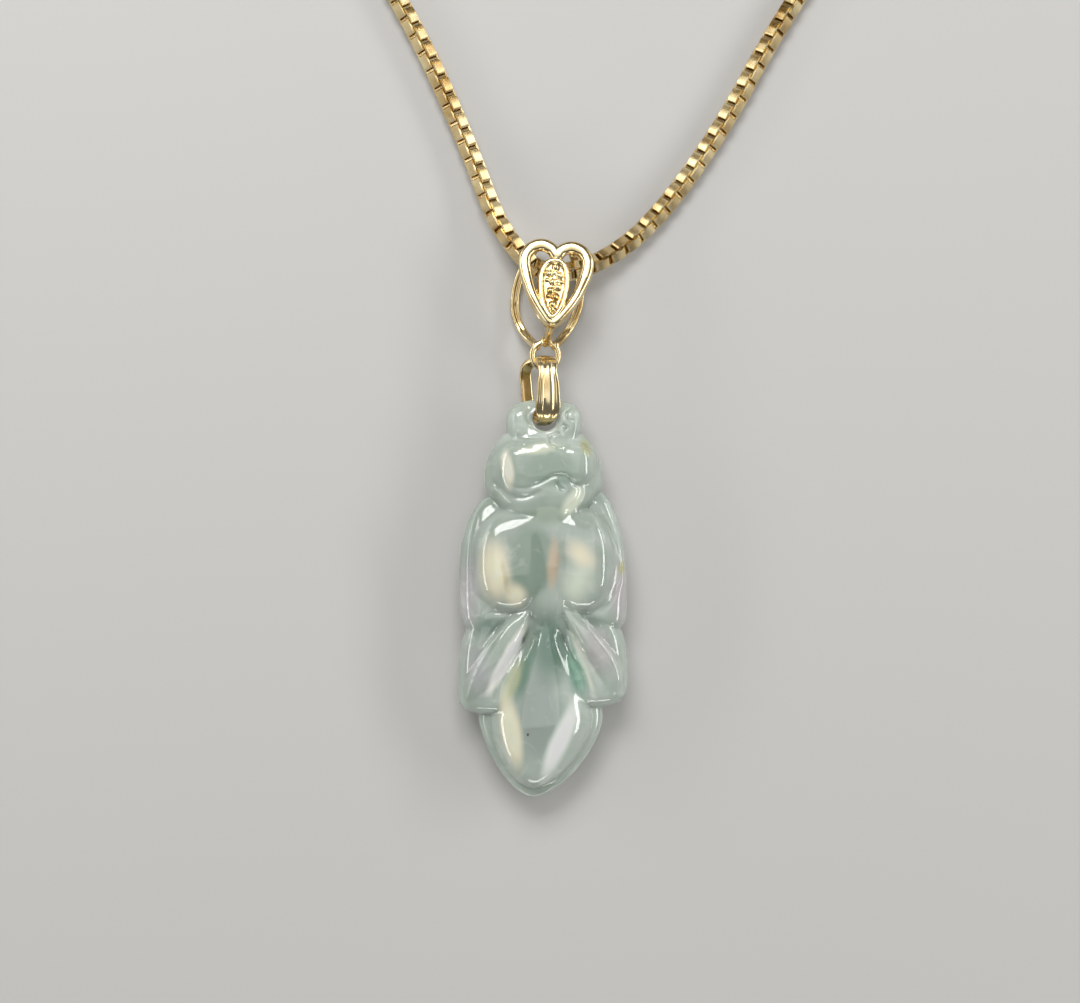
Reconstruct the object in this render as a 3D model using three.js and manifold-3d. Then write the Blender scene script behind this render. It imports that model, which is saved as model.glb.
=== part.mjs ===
// A carved jade goldfish pendant, lying on its back on a table and seen from above, with its
// gold drop ring, heart-shaped bail and box chain. Millimetres: +X is to the right, +Y points
// from the tail to the bail, and +Z points up, out of the carved face. The table is z = 0.

import * as THREE from 'three';
import { mergeVertices } from 'three/addons/utils/BufferGeometryUtils.js';
import Module from 'manifold-3d';

const wasm = await Module();
wasm.setup();

// Jade goldfish

const EDGE_LEVEL = 2.85; // height of the jade's outline above the table
const JADE_ROWS = 70;
const JADE_FRONT_STEPS = 18;
const JADE_BACK_STEPS = 12;
const CREASE = 10; // higher numbers make sharper valleys between neighbouring forms
const BACK_CREASE = 4;
const JADE_END_MARGIN = 0.02; // the first and the last row stand this far inside the two ends
const JADE_ROW_EASE = 0.35; // how much closer the rows stand towards the two ends

// Each rounded form of the carving stands at (x, y), reaches up and down the fish from there,
// and bulges tall in front of the outline and deep behind it. Its half width at a share u of
// its reach is wide * (1 - u ^ n) ^ p, with n and p given for the upper and the lower side.
const FORM_DEFAULTS = { lean: 0, bend: 0, crown: 1, flat: 2.4, upper: [2, 0.5], lower: [2, 0.5] };

const JADE_FORMS = [
  { name: 'snout', x: 0.08, y: 8.6, wide: 3.45, up: 2.1, down: 3, tall: 1.75, deep: 1.5, upper: [3, 0.4] },
  { name: 'brow', x: 0.1, y: 7.3, wide: 3, up: 1.7, down: 2.4, tall: 2.2, deep: 1, crown: 0.7,
    flat: 2.6 },
  { name: 'left eye', x: -2.05, y: 8.75, wide: 1.3, up: 1.4, down: 2.4, tall: 1.9, deep: 1, crown: 0.5,
    flat: 3 },
  { name: 'right eye', x: 2.2, y: 8.75, wide: 1.3, up: 1.4, down: 2.4, tall: 1.9, deep: 1, crown: 0.5,
    flat: 3 },
  { name: 'head', x: 0.05, y: 3.6, wide: 5.32, up: 5.2, down: 3.9, tall: 2.75, deep: 2.5,
    upper: [2.1, 0.5] },
  { name: 'hood', x: 0.05, y: 4.4, wide: 4.75, up: 2.9, down: 1.55, tall: 3, deep: 1, crown: 0.45,
    upper: [5, 0.5] },
  { name: 'left scallop', x: -2, y: 4, wide: 2.9, up: 2.6, down: 2.15, tall: 3, deep: 1, crown: 0.4,
    upper: [5, 0.5] },
  { name: 'right scallop', x: 2.9, y: 4.2, wide: 2, up: 2.4, down: 1.35, tall: 2.95, deep: 1, crown: 0.4,
    upper: [5, 0.5] },
  { name: 'chin', x: 0.05, y: 2.2, wide: 4.6, up: 2, down: 2.5, tall: 2.9, deep: 1, crown: 0.3, flat: 3 },
  { name: 'trunk', x: 0.1, y: -2.6, wide: 5.4, up: 4.2, down: 6.8, tall: 2.85, deep: 2.9, crown: 0.7,
    upper: [5, 0.5] },
  { name: 'tail root', x: 0.15, y: -7.2, wide: 2.1, up: 2.6, down: 3.2, tall: 2.4, deep: 1, crown: 0.5,
    flat: 3, lower: [1.6, 1] },
  { name: 'tail bed', x: 0.1, y: -9.3, wide: 2.4, up: 2.4, down: 3.4, tall: 1.6, deep: 1, crown: 0.3,
    flat: 3 },
  { name: 'left flank', x: -3, y: -4, wide: 3.6, up: 4.9, down: 4.6, tall: 3.2, deep: 3.1, crown: 0.6,
    flat: 3.4, upper: [2.5, 0.5], lower: [2.4, 0.5] },
  { name: 'right flank', x: 3.4, y: -4, wide: 3.1, up: 4.9, down: 4.6, tall: 3.2, deep: 3.1, crown: 0.6,
    flat: 3.4, upper: [2.5, 0.5], lower: [2.4, 0.5] },
  { name: 'left fin', x: -4.5, y: -5, wide: 3.04, up: 7, down: 5.5, tall: 1.75, deep: 1.7, flat: 2.8,
    lower: [5, 0.3] },
  { name: 'right fin', x: 4.5, y: -6.5, wide: 3.09, up: 9.2, down: 4, tall: 1.75, deep: 1.7, flat: 2.8,
    lower: [5, 0.35] },
  { name: 'left tail lobe', x: -4.4, y: -14.3, wide: 3.24, up: 7.2, down: 3.3, tall: 1.95, deep: 1.6,
    flat: 3, lower: [6, 0.4] },
  { name: 'right tail lobe', x: 4.4, y: -13.2, wide: 3.24, up: 5.65, down: 3.8, tall: 1.95, deep: 1.6,
    flat: 3, lower: [5, 0.4] },
  { name: 'left petal', x: -4.3, y: -12.2, wide: 1.8, up: 6, down: 4.3, tall: 2.4, deep: 1, lean: 0.62,
    crown: 0.4, flat: 3.2, upper: [1.7, 0.9], lower: [2, 0.7] },
  { name: 'right petal', x: 5, y: -12.1, wide: 1.55, up: 5.9, down: 4, tall: 2.4, deep: 1, lean: -0.7,
    bend: -1.5, crown: 0.4, flat: 3.2, upper: [1.7, 0.9], lower: [2, 0.7] },
  { name: 'leaf rim', x: -0.19, y: -18, wide: 5.6, up: 9.8, down: 7.05, tall: 1.2, deep: 1.2, bend: -0.63,
    flat: 5, upper: [2, 1.3], lower: [1.4, 0.6] },
  { name: 'leaf', x: -0.19, y: -17.9, wide: 4.7, up: 9.1, down: 6.35, tall: 2.85, deep: 2.2, lean: 0.043,
    bend: -0.5, crown: 0.4, upper: [1.3, 0.8], lower: [1.7, 0.62] },
].map((form) => ({ ...FORM_DEFAULTS, ...form }));

const JADE_TOP = Math.max(...JADE_FORMS.map((form) => form.y + form.up));
const JADE_TIP = Math.min(...JADE_FORMS.map((form) => form.y - form.down));

// The drilled hole, which is open above the front level and below the back level.
const HOLE = {
  x: 0.08, y: 8.95, radius: 1.1, lipRadius: 1.4, backLevel: 1.35, frontLevel: 4.55, lip: 0.4,
  top: 7, sides: 24,
};

// Drop ring, a flat band round a rounded rectangle that stands across the snout

const RING = {
  x: 0, y: 11.5, z: 2.95, halfHeight: 2.92, halfDepth: 2.38, squareness: 3,
  turn: 0.12, thickness: 0.52, steps: 44,
};

// The band's half width, and how far it bends to the side, at even steps round the ring: over
// the top, down the front, through the jade and up the back.
const RING_HALF_WIDTHS = [
  0.42, 0.85, 0.9, 0.82, 1.02, 1.12, 0.9, 0.6, 0.5, 0.5, 0.5, 0.52, 0.52, 0.52, 0.5, 0.44,
];
const RING_BENDS = [0, 0, 0, 0, 0, 0, 0, 0, 0, -0.05, -0.3, -0.75, -1.05, -1.2, -1.05, -0.5];

// Heart bail

// The heart and its leaf are made flat, with level 0 in the middle of the band, and then lean back
// from the tip, which stands highest above the table.
const HEART = {
  tipX: 0.6, tipY: 17.35, lean: 0.09, tipLevel: 5.38, tilt: 0.25,
  lobeWidth: 1.12, tipWidth: 0.85, lobeDepth: 1, tipDepth: 1.7,
  // Right half of the heart from its tip: how far out, how far up and how far back.
  half: [
    [0, 0.15, 0.35], [0.95, 1, 0.25], [2.1, 2.95, 0.05], [2.85, 5.6, 0], [2.4, 6.9, 0], [1.42, 7.36, 0],
    [0.52, 7.08, 0], [0, 6.55, 0],
  ],
  steps: 36,
};
// The leaf's outline is rounder where its power is lower.
const LEAF = {
  x: 0.86, y: 21.35, up: 1.9, down: 3.4, halfWidth: 1.2, lean: 0.06, topPower: 0.8, tipPower: 1.3,
  rim: 0.56, rimDepth: 0.95, rimLevel: 0.05, plate: 0.5, plateLevel: -0.4,
  rimPoints: 12, platePoints: 16, steps: 16,
};
// Grains on the leaf's plate, each as how far out and how far up it stands.
const GRAINS = [
  [0.1, 1.3], [-0.4, 0.7], [0.45, 0.5], [-0.1, -0.1], [0.38, -0.6], [-0.25, -0.9], [0.15, -1.5],
  [-0.05, -2.2],
];
const GRAIN_RADIUS = 0.36;
const STRAP_WIDTH = 0.8;
const STRAP_THICKNESS = 0.66;
const STRAP_STEPS = 15;
const STRAPS = {
  left: [
    [-0.2, 24.5, 3.5], [-0.3, 24.6, 2.5], [-0.7, 24.3, 1.2], [-1.45, 23.1, 0.6], [-2.1, 21.5, 0.5],
    [-2.4, 19.9, 0.5], [-2.33, 18.5, 0.55], [-1.8, 17.1, 0.85], [-1.1, 16.1, 1.7], [-0.6, 15.6, 2.7],
  ],
  right: [
    [2.5, 24.2, 3.5], [2.6, 24.35, 2.5], [2.85, 23.9, 1.2], [3.3, 22.7, 0.6], [3.58, 21.1, 0.5],
    [3.45, 19.5, 0.5], [3, 18.1, 0.55], [2.35, 16.95, 0.85], [1.65, 16.1, 1.7], [1.1, 15.6, 2.7],
  ],
};
const SHOULDERS = [[-0.6, 15.55, 2.75], [1.1, 15.55, 2.75]];
const SHOULDER_RADIUS = 0.45;
const KEEL = [[0.6, 17.5, 4.9], [0.5, 16.95, 4.4], [0.4, 16.4, 3.7], [0.3, 15.9, 2.95]];
const KEEL_HALF_WIDTH = 0.36;
const KEEL_HALF_THICKNESS = 0.42;
const KEEL_STEPS = 6;
const EYE = { x: 0.2, y: 14.7, z: 2.9, radius: 1.17, wire: 0.3, sides: 6, steps: 18 };
const KNOT = { x: 0.27, y: 15.95, z: 2.85, radius: 0.55 };

// Box chain

const CHAIN = 1.75; // across its edges, and the diameter of its plain tubes
const CHAIN_GAP = 0.3;
const CHAIN_SIDES = 8;
const STRAND_STEPS = 16;

// Where the chain runs on each side, from inside the bail to its coil on the table.
const ROUTES = {
  left: [
    [0.7, 22.2, 2.25], [-0.6, 22.65, 2.25], [-1.75, 23.6, 2.2], [-2.9, 25.1, 2], [-3.95, 26.8, 1.55],
    [-4.9, 29, 1.1], [-5.8, 31.4, 0.95], [-6.75, 33.8, 0.9], [-8, 36.8, 0.9], [-9.3, 39.7, 0.9],
    [-10.6, 42.4, 0.9], [-12, 45.1, 0.9], [-13.6, 48, 0.9], [-15.2, 51, 0.9], [-15.85, 52.5, 0.9],
  ],
  right: [
    [1, 22.15, 2.25], [2.3, 22.3, 2.25], [3.6, 22.6, 2.2], [5, 23.2, 2], [6.6, 24.1, 1.55],
    [8.6, 25.6, 1.1], [10.5, 27.5, 0.95], [12.4, 29.8, 0.9], [14.3, 32.4, 0.9], [16.2, 35.3, 0.9],
    [18, 38.3, 0.9], [19.7, 41.4, 0.9], [21.5, 44.5, 0.9], [23.5, 47.7, 0.9], [25.4, 50.8, 0.9],
    [26.2, 52.2, 0.9],
  ],
};

// Each coil is a flat spiral: inward along the table, then outward on top of itself.
const COIL = { startRadius: 10.3, turnsIn: 1.75, turnsOut: 1.5, y: 61.2, steps: 28 };
const COIL_MIDDLES = { left: -17.2 + COIL.startRadius, right: 28.1 - COIL.startRadius };
const COIL_INNER = COIL.startRadius - CHAIN * COIL.turnsIn;
const COIL_END_RADIUS = COIL_INNER + CHAIN * COIL.turnsOut;
const COIL_OUTER = COIL.startRadius + CHAIN / 2;
const END_LEVELS = [1.6, 1.2, 0.95]; // the chain comes down from the coil's top to its fitting
const END_STEPS = 3;

// Lobster clasp and end ring, between the coils

const CLASP = {
  x: 1.3, y: COIL.y + COIL_END_RADIUS, level: 0.12, rise: 0.12, thickness: 0.7,
  neck: 0.5, neckBend: [1.2, 0.7], shoulderX: 2, shoulder: 1.15, sideBend: [3.43, 1.8],
  hookX: 4.9, hookRadius: 1.6, openingX: 4.75, openingLength: 1.15, openingHalfWidth: 1, steps: 7,
};
const CLASP_BAR_X = (CLASP.openingX + CLASP.openingLength + CLASP.hookX + CLASP.hookRadius) / 2;
const END_RING = { radius: 1.3, wire: 0.28, tilt: 0.9, sides: 8, steps: 20, offset: 0.2 };
const END_RING_X = CLASP.x + CLASP_BAR_X + END_RING.offset;

const CORNER_SHARE = 0.55; // how much of a band's smaller half size its cut corners take

// Materials

const jade = new THREE.MeshStandardMaterial({ color: 0xb9c6ba, roughness: 0.12, metalness: 0 });
const gold = new THREE.MeshStandardMaterial({ color: 0xd9b45f, roughness: 0.25, metalness: 1 });

// A closed surface through rows of points that all have the same count. The rows either join
// into an endless loop or are capped at both ends by a fan around the row's middle.
function skin(rows, endless) {
  const across = rows[0].length;
  const points = rows.flat();
  const faces = [];
  const lastRow = endless ? rows.length : rows.length - 1;
  for (let i = 0; i < lastRow; i++) {
    for (let j = 0; j < across; j++) {
      const a = i * across + j;
      const b = i * across + ((j + 1) % across);
      const c = ((i + 1) % rows.length) * across + j;
      const d = ((i + 1) % rows.length) * across + ((j + 1) % across);
      faces.push(a, d, b, a, c, d);
    }
  }
  if (!endless) {
    for (const end of [0, rows.length - 1]) {
      const middle = rows[end].reduce((sum, point) => sum.add(point), new THREE.Vector3());
      points.push(middle.divideScalar(across));
      for (let j = 0; j < across; j++) {
        const a = end * across + j;
        const b = end * across + ((j + 1) % across);
        faces.push(...(end === 0 ? [a, b] : [b, a]), points.length - 1);
      }
    }
  }
  const geometry = new THREE.BufferGeometry();
  const numbers = points.flatMap((point) => point.toArray());
  geometry.setAttribute('position', new THREE.Float32BufferAttribute(numbers, 3));
  geometry.setIndex(faces);
  return geometry;
}

// Conversions between three.js geometry and solids that can be joined and cut

function toSolid(geometry) {
  const bare = geometry.clone();
  bare.deleteAttribute('normal');
  bare.deleteAttribute('uv');
  const merged = mergeVertices(bare, 1e-4);
  const vertProperties = new Float32Array(merged.attributes.position.array);
  const triVerts = new Uint32Array(merged.index.array);
  return new wasm.Manifold(new wasm.Mesh({ numProp: 3, vertProperties, triVerts }));
}

function toGeometry(solid) {
  const mesh = solid.getMesh();
  const geometry = new THREE.BufferGeometry();
  geometry.setAttribute('position', new THREE.BufferAttribute(new Float32Array(mesh.vertProperties), 3));
  geometry.setIndex(new THREE.BufferAttribute(new Uint32Array(mesh.triVerts), 1));
  return geometry;
}

function union(geometries) {
  return toGeometry(geometries.map(toSolid).reduce((sum, solid) => sum.add(solid)));
}

// Jade

// Where a form's middle is at height y, and how wide it is there as a share of its full width.
function formAt(form, y) {
  const along = y - form.y;
  const above = along > 0;
  const share = Math.abs(along) / (above ? form.up : form.down);
  const [n, p] = above ? form.upper : form.lower;
  const width = share < 1 ? (1 - share ** n) ** p : 0;
  const middle = form.x + form.lean * along + (above ? 0 : form.bend * share ** 2);
  return { width, middle };
}

// How far the surface stands from the outline's level: each form is a rounded swell across the
// row, and the forms are blended by a power mean that follows the tallest one.
function swell(x, y, side, crease) {
  let total = 0;
  for (const form of JADE_FORMS) {
    const { width, middle } = formAt(form, y);
    const off = Math.abs(x - middle) / (form.wide * width);
    if (width > 0 && off < 1) {
      total += (form[side] * width ** form.crown * Math.sqrt(1 - off ** form.flat)) ** crease;
    }
  }
  return total ** (1 / crease);
}

function outlineAt(y) {
  let left = Infinity;
  let right = -Infinity;
  for (const form of JADE_FORMS) {
    const { width, middle } = formAt(form, y);
    if (width > 0) {
      left = Math.min(left, middle - form.wide * width);
      right = Math.max(right, middle + form.wide * width);
    }
  }
  return { left, right };
}

// One row of the jade at height y: over the front from left to right, and back underneath. The
// underside is flat where it would pass below the table.
function jadeRow(y) {
  const { left, right } = outlineAt(y);
  const middle = (left + right) / 2;
  const half = (right - left) / 2;
  const row = [];
  for (let i = 0; i < JADE_FRONT_STEPS; i++) {
    const x = middle - half * Math.cos((Math.PI * i) / JADE_FRONT_STEPS);
    row.push(new THREE.Vector3(x, y, EDGE_LEVEL + swell(x, y, 'tall', CREASE)));
  }
  for (let i = 0; i < JADE_BACK_STEPS; i++) {
    const x = middle + half * Math.cos((Math.PI * i) / JADE_BACK_STEPS);
    row.push(new THREE.Vector3(x, y, Math.max(0, EDGE_LEVEL - swell(x, y, 'deep', BACK_CREASE))));
  }
  return row;
}

// The hole is straight through the middle and flares at both faces, where its edge is polished.
function holeCutter() {
  const profile = [
    [0, 0], [HOLE.lipRadius, 0], [HOLE.lipRadius, HOLE.backLevel], [HOLE.radius, HOLE.backLevel + HOLE.lip],
    [HOLE.radius, HOLE.frontLevel - HOLE.lip], [HOLE.lipRadius, HOLE.frontLevel],
    [HOLE.lipRadius + HOLE.lip, HOLE.frontLevel + HOLE.lip], [HOLE.lipRadius + HOLE.lip, HOLE.top],
    [0, HOLE.top],
  ];
  const cutter = new THREE.LatheGeometry(profile.map(([r, h]) => new THREE.Vector2(r, h)), HOLE.sides);
  cutter.rotateX(Math.PI / 2);
  cutter.translate(HOLE.x, HOLE.y, 0);
  return cutter;
}

function jadeGeometry() {
  const rows = [];
  const first = JADE_TOP - JADE_END_MARGIN;
  const last = JADE_TIP + JADE_END_MARGIN;
  for (let i = 0; i <= JADE_ROWS; i++) {
    const share = i / JADE_ROWS;
    const eased = share - (JADE_ROW_EASE * Math.sin(2 * Math.PI * share)) / (2 * Math.PI);
    rows.push(jadeRow(THREE.MathUtils.lerp(first, last, eased)));
  }
  return toGeometry(toSolid(skin(rows, false)).subtract(toSolid(holeCutter())));
}

// Gold

// A cross-section with cut corners, swept along a curve. Its width lies along the given side
// direction as far as the curve allows, and sizes gives half its width and thickness.
function band(curve, side, sizes, steps, endless) {
  const rows = [];
  const count = endless ? steps : steps + 1;
  for (let i = 0; i < count; i++) {
    const share = i / steps;
    const point = curve.getPoint(share);
    const tangent = curve.getTangent(share);
    const across = side(share).clone().addScaledVector(tangent, -side(share).dot(tangent)).normalize();
    const out = new THREE.Vector3().crossVectors(across, tangent);
    const [halfWidth, halfThickness] = sizes(share);
    const cut = Math.min(halfWidth, halfThickness) * CORNER_SHARE;
    const flat = halfWidth - cut;
    const wall = halfThickness - cut;
    const corners = [
      [halfWidth, -wall], [halfWidth, wall], [flat, halfThickness], [-flat, halfThickness],
      [-halfWidth, wall], [-halfWidth, -wall], [-flat, -halfThickness], [flat, -halfThickness],
    ];
    rows.push(corners.map(([w, t]) => point.clone().addScaledVector(across, w).addScaledVector(out, t)));
  }
  return skin(rows, endless);
}

function curveThrough(points, endless = false) {
  const vectors = points.map((point) => new THREE.Vector3(...point));
  return new THREE.CatmullRomCurve3(vectors, endless, 'centripetal');
}

// The value at a share of the way round, from values at even steps that close on themselves.
function around(values, share) {
  const count = values.length;
  const place = share * count;
  const i = Math.floor(place);
  const t = place - i;
  const [a, b, c, d] = [-1, 0, 1, 2].map((k) => values[(i + k + count) % count]);
  return b + 0.5 * t * (c - a + t * (2 * a - 5 * b + 4 * c - d + t * (3 * b - a - 3 * c + d)));
}

// The drop ring goes up over the top, down the front, back through the jade and up behind it.
class RingCurve extends THREE.Curve {
  getPoint(share, target = new THREE.Vector3()) {
    const angle = 2 * Math.PI * share;
    const round = (value) => Math.sign(value) * Math.abs(value) ** (2 / RING.squareness);
    const y = RING.halfHeight * round(Math.cos(angle));
    const z = RING.halfDepth * round(Math.sin(angle));
    return target.set(around(RING_BENDS, share), y, z);
  }
}

function dropRing() {
  const side = () => new THREE.Vector3(1, 0, 0);
  const sizes = (share) => [around(RING_HALF_WIDTHS, share), RING.thickness / 2];
  const ring = new THREE.Mesh(band(new RingCurve(), side, sizes, RING.steps, true), gold);
  ring.position.set(RING.x, RING.y, RING.z);
  ring.rotation.y = RING.turn;
  return ring;
}

// A point of the heart from how far it is out to the side, up from the tip and back.
function onHeart(out, up, back) {
  const slope = Math.hypot(1, HEART.lean);
  const x = HEART.tipX + (out + up * HEART.lean) / slope;
  const y = HEART.tipY + (up - out * HEART.lean) / slope;
  return [x, y, -back];
}

// Turns a flat piece of the heart back about its tip and lifts it to its place.
function leanBack(geometry) {
  geometry.translate(0, -HEART.tipY, 0);
  geometry.rotateX(-HEART.tilt);
  geometry.translate(0, HEART.tipY, HEART.tipLevel);
  return geometry;
}

// The band is widest over the lobes, and narrower but deeper towards the tip.
function heartBand() {
  const right = HEART.half.map(([out, up, back]) => onHeart(out, up, back));
  const left = HEART.half.slice(1, -1).reverse().map(([out, up, back]) => onHeart(-out, up, back));
  const side = () => new THREE.Vector3(0, 0, 1);
  const lobe = (share) => Math.min(1, 2 * Math.sin(Math.PI * share) ** 2);
  const width = (share) => THREE.MathUtils.lerp(HEART.tipWidth, HEART.lobeWidth, lobe(share));
  const depth = (share) => THREE.MathUtils.lerp(HEART.tipDepth, HEART.lobeDepth, lobe(share));
  const sizes = (share) => [depth(share) / 2, width(share) / 2];
  return band(curveThrough([...right, ...left], true), side, sizes, HEART.steps, true);
}

// The leaf inside the heart is a plate with a raised rim and with grains on it. Its outline is
// rounded at the top and comes to a point at the bottom.
function leafPoint(angle) {
  const above = Math.cos(angle) > 0;
  const up = (above ? LEAF.up : LEAF.down) * Math.cos(angle);
  const power = above ? LEAF.topPower : LEAF.tipPower;
  const side = Math.sign(Math.sin(angle)) * Math.abs(Math.sin(angle)) ** power;
  return [LEAF.x + LEAF.halfWidth * side + up * LEAF.lean, LEAF.y + up];
}

function leafRim() {
  const points = [];
  for (let i = 0; i < LEAF.rimPoints; i++) {
    points.push([...leafPoint((2 * Math.PI * i) / LEAF.rimPoints), LEAF.rimLevel]);
  }
  const side = () => new THREE.Vector3(0, 0, 1);
  const sizes = () => [LEAF.rimDepth / 2, LEAF.rim / 2];
  return band(curveThrough(points, true), side, sizes, LEAF.steps, true);
}

function leafPlate() {
  const outline = new THREE.Shape();
  for (let i = 0; i < LEAF.platePoints; i++) {
    outline[i === 0 ? 'moveTo' : 'lineTo'](...leafPoint((-2 * Math.PI * i) / LEAF.platePoints));
  }
  outline.closePath();
  const plate = new THREE.ExtrudeGeometry(outline, { depth: LEAF.plate, bevelEnabled: false });
  plate.translate(0, 0, LEAF.plateLevel);
  return plate;
}

function leafGrains() {
  return GRAINS.map(([out, up]) => {
    const grain = new THREE.OctahedronGeometry(GRAIN_RADIUS, 1);
    grain.translate(LEAF.x + out + up * LEAF.lean, LEAF.y + up, LEAF.plateLevel + LEAF.plate);
    return grain;
  });
}

function heartBail() {
  const flatSide = () => new THREE.Vector3(1, 0, 0);
  const strapSizes = () => [STRAP_WIDTH / 2, STRAP_THICKNESS / 2];
  const keelSizes = () => [KEEL_HALF_WIDTH, KEEL_HALF_THICKNESS];
  const eye = new THREE.TorusGeometry(EYE.radius, EYE.wire, EYE.sides, EYE.steps);
  eye.translate(EYE.x, EYE.y, EYE.z);
  const knot = new THREE.IcosahedronGeometry(KNOT.radius, 1);
  knot.translate(KNOT.x, KNOT.y, KNOT.z);
  const shoulders = SHOULDERS.map((place) => {
    return new THREE.OctahedronGeometry(SHOULDER_RADIUS, 1).translate(...place);
  });
  const pieces = [
    ...[heartBand(), leafPlate(), leafRim(), ...leafGrains()].map(leanBack),
    band(curveThrough(STRAPS.left), flatSide, strapSizes, STRAP_STEPS, false),
    band(curveThrough(STRAPS.right), flatSide, strapSizes, STRAP_STEPS, false),
    band(curveThrough(KEEL), flatSide, keelSizes, KEEL_STEPS, false),
    eye,
    knot,
    ...shoulders,
  ];
  return new THREE.Mesh(union(pieces), gold);
}

// Chain

function chainTube(curve, steps) {
  const section = new THREE.Shape();
  for (let i = 0; i < CHAIN_SIDES; i++) {
    const angle = (2 * Math.PI * (i + 0.5)) / CHAIN_SIDES;
    const reach = CHAIN / 2;
    section[i === 0 ? 'moveTo' : 'lineTo'](reach * Math.cos(angle), reach * Math.sin(angle));
  }
  section.closePath();
  return new THREE.ExtrudeGeometry(section, { steps, extrudePath: curve, bevelEnabled: false });
}

function strand(side) {
  return new THREE.Mesh(chainTube(curveThrough(ROUTES[side]), STRAND_STEPS), gold);
}

function coil(side) {
  const inner = COIL_INNER - CHAIN / 2;
  const profile = [[inner, 0], [COIL_OUTER, 0], [COIL_OUTER, 2 * CHAIN], [inner, 2 * CHAIN], [inner, 0]];
  const ring = new THREE.LatheGeometry(profile.map(([r, h]) => new THREE.Vector2(r, h)), COIL.steps);
  ring.rotateX(Math.PI / 2);
  ring.translate(COIL_MIDDLES[side], COIL.y, 0);
  return new THREE.Mesh(ring, gold);
}

// The short stretch from the coil's top down to the clasp or the end ring.
function strandEnd(side) {
  const sign = side === 'left' ? 1 : -1;
  const y = COIL.y + COIL_END_RADIUS;
  const reach = Math.sqrt(COIL_OUTER ** 2 - (COIL_END_RADIUS - CHAIN / 2) ** 2);
  const start = COIL_MIDDLES[side] + sign * (reach + CHAIN_GAP);
  const ringEdge = END_RING_X + END_RING.radius + END_RING.wire;
  const end = side === 'left' ? CLASP.x - CHAIN_GAP : ringEdge + CHAIN_GAP;
  const points = END_LEVELS.map((level, i) => [THREE.MathUtils.lerp(start, end, i / 2), y, level]);
  return new THREE.Mesh(chainTube(curveThrough(points), END_STEPS), gold);
}

// Clasp

// A drop-shaped plate with a neck at the chain's side and an opening behind the rounded hook.
function claspGeometry() {
  const { neck, neckBend, shoulderX, shoulder, sideBend, hookX, hookRadius } = CLASP;
  const outline = new THREE.Shape();
  outline.moveTo(0, -neck);
  outline.quadraticCurveTo(neckBend[0], -neckBend[1], shoulderX, -shoulder);
  outline.quadraticCurveTo(sideBend[0], -sideBend[1], hookX, -hookRadius);
  outline.absarc(hookX, 0, hookRadius, -Math.PI / 2, Math.PI / 2, false);
  outline.quadraticCurveTo(sideBend[0], sideBend[1], shoulderX, shoulder);
  outline.quadraticCurveTo(neckBend[0], neckBend[1], 0, neck);
  const opening = new THREE.Path();
  opening.absellipse(CLASP.openingX, 0, CLASP.openingLength, CLASP.openingHalfWidth, 0, 2 * Math.PI, true);
  outline.holes.push(opening);
  const options = { depth: CLASP.thickness, bevelEnabled: false, curveSegments: CLASP.steps };
  return new THREE.ExtrudeGeometry(outline, options);
}

// The hook end rests on the end ring's wire, so the clasp rises a little towards it.
function clasp() {
  const mesh = new THREE.Mesh(claspGeometry(), gold);
  mesh.position.set(CLASP.x, CLASP.y, CLASP.level);
  mesh.rotation.y = -CLASP.rise;
  return mesh;
}

// The end ring leans through the clasp's opening with its lowest point on the table.
function endRing() {
  const ring = new THREE.TorusGeometry(END_RING.radius, END_RING.wire, END_RING.sides, END_RING.steps);
  const mesh = new THREE.Mesh(ring, gold);
  mesh.rotation.x = END_RING.tilt;
  mesh.position.set(END_RING_X, CLASP.y, END_RING.radius * Math.sin(END_RING.tilt) + END_RING.wire);
  return mesh;
}

// The whole pendant

function named(name, mesh) {
  mesh.name = name;
  return mesh;
}

const pendant = new THREE.Group();
pendant.add(named('jade_goldfish', new THREE.Mesh(jadeGeometry(), jade)));
pendant.add(named('drop_ring', dropRing()));
pendant.add(named('heart_bail', heartBail()));
for (const side of ['left', 'right']) {
  pendant.add(named(`chain_${side}_strand`, strand(side)));
  pendant.add(named(`chain_${side}_coil`, coil(side)));
  pendant.add(named(`chain_${side}_end`, strandEnd(side)));
}
pendant.add(named('lobster_clasp', clasp()));
pendant.add(named('end_ring', endRing()));

export default pendant;
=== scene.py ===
# A carved jade goldfish pendant with its gold drop ring, heart bail and box chain.
# It lies on its back, face up, and the camera looks down on it. Sizes in the dictionaries are
# in millimetres, in the frame of the CAD model, and become metres when a mesh is made.

import math

import bpy
import numpy as np
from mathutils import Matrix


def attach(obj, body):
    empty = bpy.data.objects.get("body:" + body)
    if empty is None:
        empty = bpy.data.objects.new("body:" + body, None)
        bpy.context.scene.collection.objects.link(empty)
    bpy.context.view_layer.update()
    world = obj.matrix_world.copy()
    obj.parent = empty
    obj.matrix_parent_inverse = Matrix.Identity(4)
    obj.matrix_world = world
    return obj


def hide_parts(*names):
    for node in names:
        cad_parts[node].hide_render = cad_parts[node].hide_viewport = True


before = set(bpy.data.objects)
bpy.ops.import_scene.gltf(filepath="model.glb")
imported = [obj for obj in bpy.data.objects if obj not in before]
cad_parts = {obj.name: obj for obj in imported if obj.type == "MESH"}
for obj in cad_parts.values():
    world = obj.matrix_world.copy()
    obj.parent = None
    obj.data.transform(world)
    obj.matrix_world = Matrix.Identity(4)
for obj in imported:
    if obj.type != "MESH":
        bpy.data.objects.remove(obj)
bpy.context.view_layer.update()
scene = bpy.context.scene
mm = 0.001


# mesh helpers

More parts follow.
